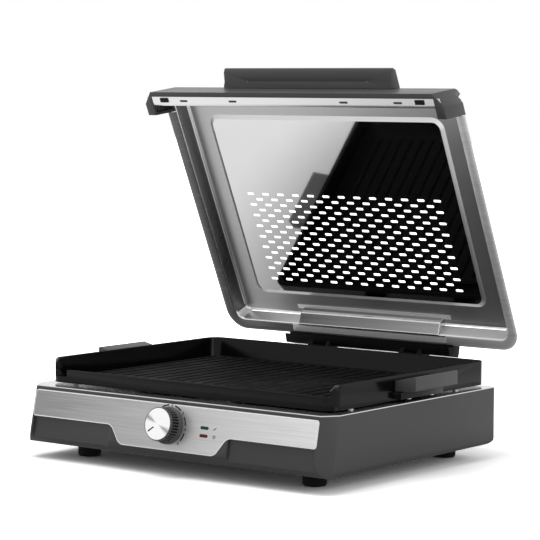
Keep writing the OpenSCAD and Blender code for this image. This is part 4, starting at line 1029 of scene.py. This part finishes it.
POINTER_ANGLE = math.radians(217)
pointer = block("knob_pointer", (5.6, -0.7, CAP_TOP - 0.25), (14.0, 0.7, CAP_TOP + 0.12))
pick("EDGE", lambda m, d: abs(d.z) > abs(d.x) + abs(d.y))
bpy.ops.mesh.bevel(offset=0.3 * MM, segments=3, affect="EDGES")
place(pointer, on_knob @ Matrix.Rotation(POINTER_ANGLE, 4, "Z"))
dress(pointer, "knob", INK_AND_SHADE)

# %% [markdown]
# Dial. The settings are printed on the panel: plain numbers with a thin arc between each
# pair. A number is a text object turned into a mesh. The arcs are what is left of a circle
# when the vertices between them are deleted, widened by one extrusion. Both stand a few
# hundredths of a millimetre proud, as thick screen ink does.

# %% Dial print
DIAL_R, DIGIT_H, DIGIT_BOLD, INK_Z, DIAL_DROP = 22.2, 4.4, 0.12, PANEL_FACE, 1.0
DIAL = [("0", 217), ("1", 130), ("2", 86), ("3", 41), ("4", -3), ("5", -46)]
prints = []
for digit, angle in DIAL:
    fresh()
    bpy.ops.object.text_add()
    text = bpy.context.object
    text.data.body = digit
    text.data.size = DIGIT_H * MM
    text.data.align_x, text.data.align_y = "CENTER", "CENTER"
    text.data.extrude = 0.03 * MM
    text.data.offset = DIGIT_BOLD * MM
    bpy.ops.object.convert(target="MESH")
    turn = math.radians(angle)
    place(text, Matrix.Translation(Vector((DIAL_R * math.cos(turn), DIAL_R * math.sin(turn), INK_Z)) * MM))
    prints.append(text)
ARC_GAP, ARC_W = 9.5, 1.6
fresh()
bpy.ops.mesh.primitive_circle_add(vertices=360, radius=(DIAL_R - ARC_W / 2) * MM,
                                  location=(0, 0, INK_Z * MM))
arcs = start("dial_arcs")
printed = [(end + ARC_GAP, begin - ARC_GAP) for (_, begin), (_, end) in zip(DIAL[1:], DIAL[2:])]
pick("VERT", lambda v, n: not any(low < math.degrees(math.atan2(v.y, v.x)) < high for low, high in printed))
bpy.ops.mesh.delete(type="VERT")
select_all()
raise_by()
wider = (DIAL_R + ARC_W / 2) / (DIAL_R - ARC_W / 2)
bpy.ops.transform.resize(value=(wider, wider, 1), center_override=(0, 0, INK_Z * MM))
select_all()
raise_by(z=0.02)
face_out()
fresh()
print("dial arcs", len(arcs.data.polygons), "faces over", printed)
join(prints + [arcs], arcs)
arcs.name = arcs.data.name = "dial_print"
place(arcs, on_knob @ Matrix.Translation((0, -DIAL_DROP * MM, 0)))
dress(arcs, "base", INK_AND_SHADE)

# %% [markdown]
# Lamps. Each lens is a small moulding with a domed face behind its slot. Beside them stand
# two plain signs, a tick for heat reached and a ring with a bar for power, because the
# words on such a panel belong to its maker.

# %% Lamp lenses
def lens(name, spot, material, node):
    x, y = spot
    piece = sheet_plane(name, x - LAMP_L / 2, y - LAMP_H / 2, x + LAMP_L / 2, y + LAMP_H / 2, -5.0)
    corners(LAMP_H / 2 * 0.97 * MM, 5)
    select_all()
    raise_by(z=5.0)
    bpy.ops.mesh.inset(thickness=0.25 * MM, depth=0.3 * MM)
    bpy.ops.mesh.inset(thickness=0.45 * MM, depth=0.2 * MM)
    face_out()
    place(piece, on_front)
    smooth(piece, 60)
    dress(piece, "base", material, [node])


lens("lens_green", LAMPS[0], GREEN, "lamp_lens_green")
lens("lens_red", LAMPS[1], RED, "lamp_lens_red")

# %% Signs beside the lamps
SIGN_X, STROKE = 60.0, 0.75


def stroke(name, a, b):
    """A flat printed stroke between two points of the face, in millimetres."""
    a, b = Vector(a), Vector(b)
    run = b - a
    piece = block(name, (0, -STROKE / 2, 0), (run.length, STROKE / 2, 0.03))
    turn = Matrix.Rotation(math.atan2(run.y, run.x), 4, "Z")
    place(piece, on_front @ Matrix.Translation((a.x * MM, a.y * MM, PANEL_FACE * MM)) @ turn)
    return piece


tick_x, tick_y = SIGN_X, LAMPS[0][1]
power_x, power_y = SIGN_X + 0.6, LAMPS[1][1]
signs = [stroke("tick_short", (tick_x - 1.2, tick_y + 0.1), (tick_x, tick_y - 1.2)),
         stroke("tick_long", (tick_x - 0.1, tick_y - 1.2), (tick_x + 2.2, tick_y + 1.5)),
         stroke("power_bar", (power_x, power_y + 0.2), (power_x, power_y + 1.9))]
fresh()
bpy.ops.mesh.primitive_torus_add(major_radius=1.4 * MM, minor_radius=STROKE / 2 * MM, major_segments=32,
                                 minor_segments=6)
ring = start("power_ring")
pick("FACE", lambda m, n: m.y > 0.0008 and abs(m.x) < 0.0008)
bpy.ops.mesh.delete(type="FACE")
place(ring, on_front @ Matrix.Translation((power_x * MM, power_y * MM, PANEL_FACE * MM))
      @ Matrix.Diagonal((1, 1, 0.08, 1)))
join(signs + [ring], signs[0])
signs[0].name = signs[0].data.name = "lamp_signs"
dress(signs[0], "base", INK_AND_SHADE)

# %% [markdown]
# Feet. A foot is a turned rubber plug with a rounded rim and a ring groove under it. It is
# modelled once from a circle and copied to the four corners, each with its own mesh.

# %% Feet
# Height and radius
FOOT_RINGS = [(0.9, 8.6), (0.3, 9.4), (0.0, 10.4), (0.2, 11.2), (0.8, 11.7), (2.0, 12.2), (3.6, 12.5),
              (14.2, 12.5), (15.2, 12.2), (15.7, 11.4)]
fresh()
bpy.ops.mesh.primitive_circle_add(vertices=48, radius=FOOT_RINGS[0][1] * MM, fill_type="NGON",
                                  location=(0, 0, FOOT_RINGS[0][0] * MM))
foot = start("foot_1")
select_all()
turned_up(FOOT_RINGS)
face_out()
fresh()
smooth(foot, 50)
FOOT_PLACES = [(x, y) for x in (-150, 150) for y in (-109, 125)]
feet = [foot]
for number in range(2, len(FOOT_PLACES) + 1):
    twin = foot.copy()
    twin.data = foot.data.copy()
    twin.name = twin.data.name = f"foot_{number}"
    scene.collection.objects.link(twin)
    feet.append(twin)
for piece, (x, y) in zip(feet, FOOT_PLACES):
    place(piece, Matrix.Translation((x * MM, y * MM + SHIFT_Y, 0)))
    dress(piece, "base", RUBBER, ["feet"])
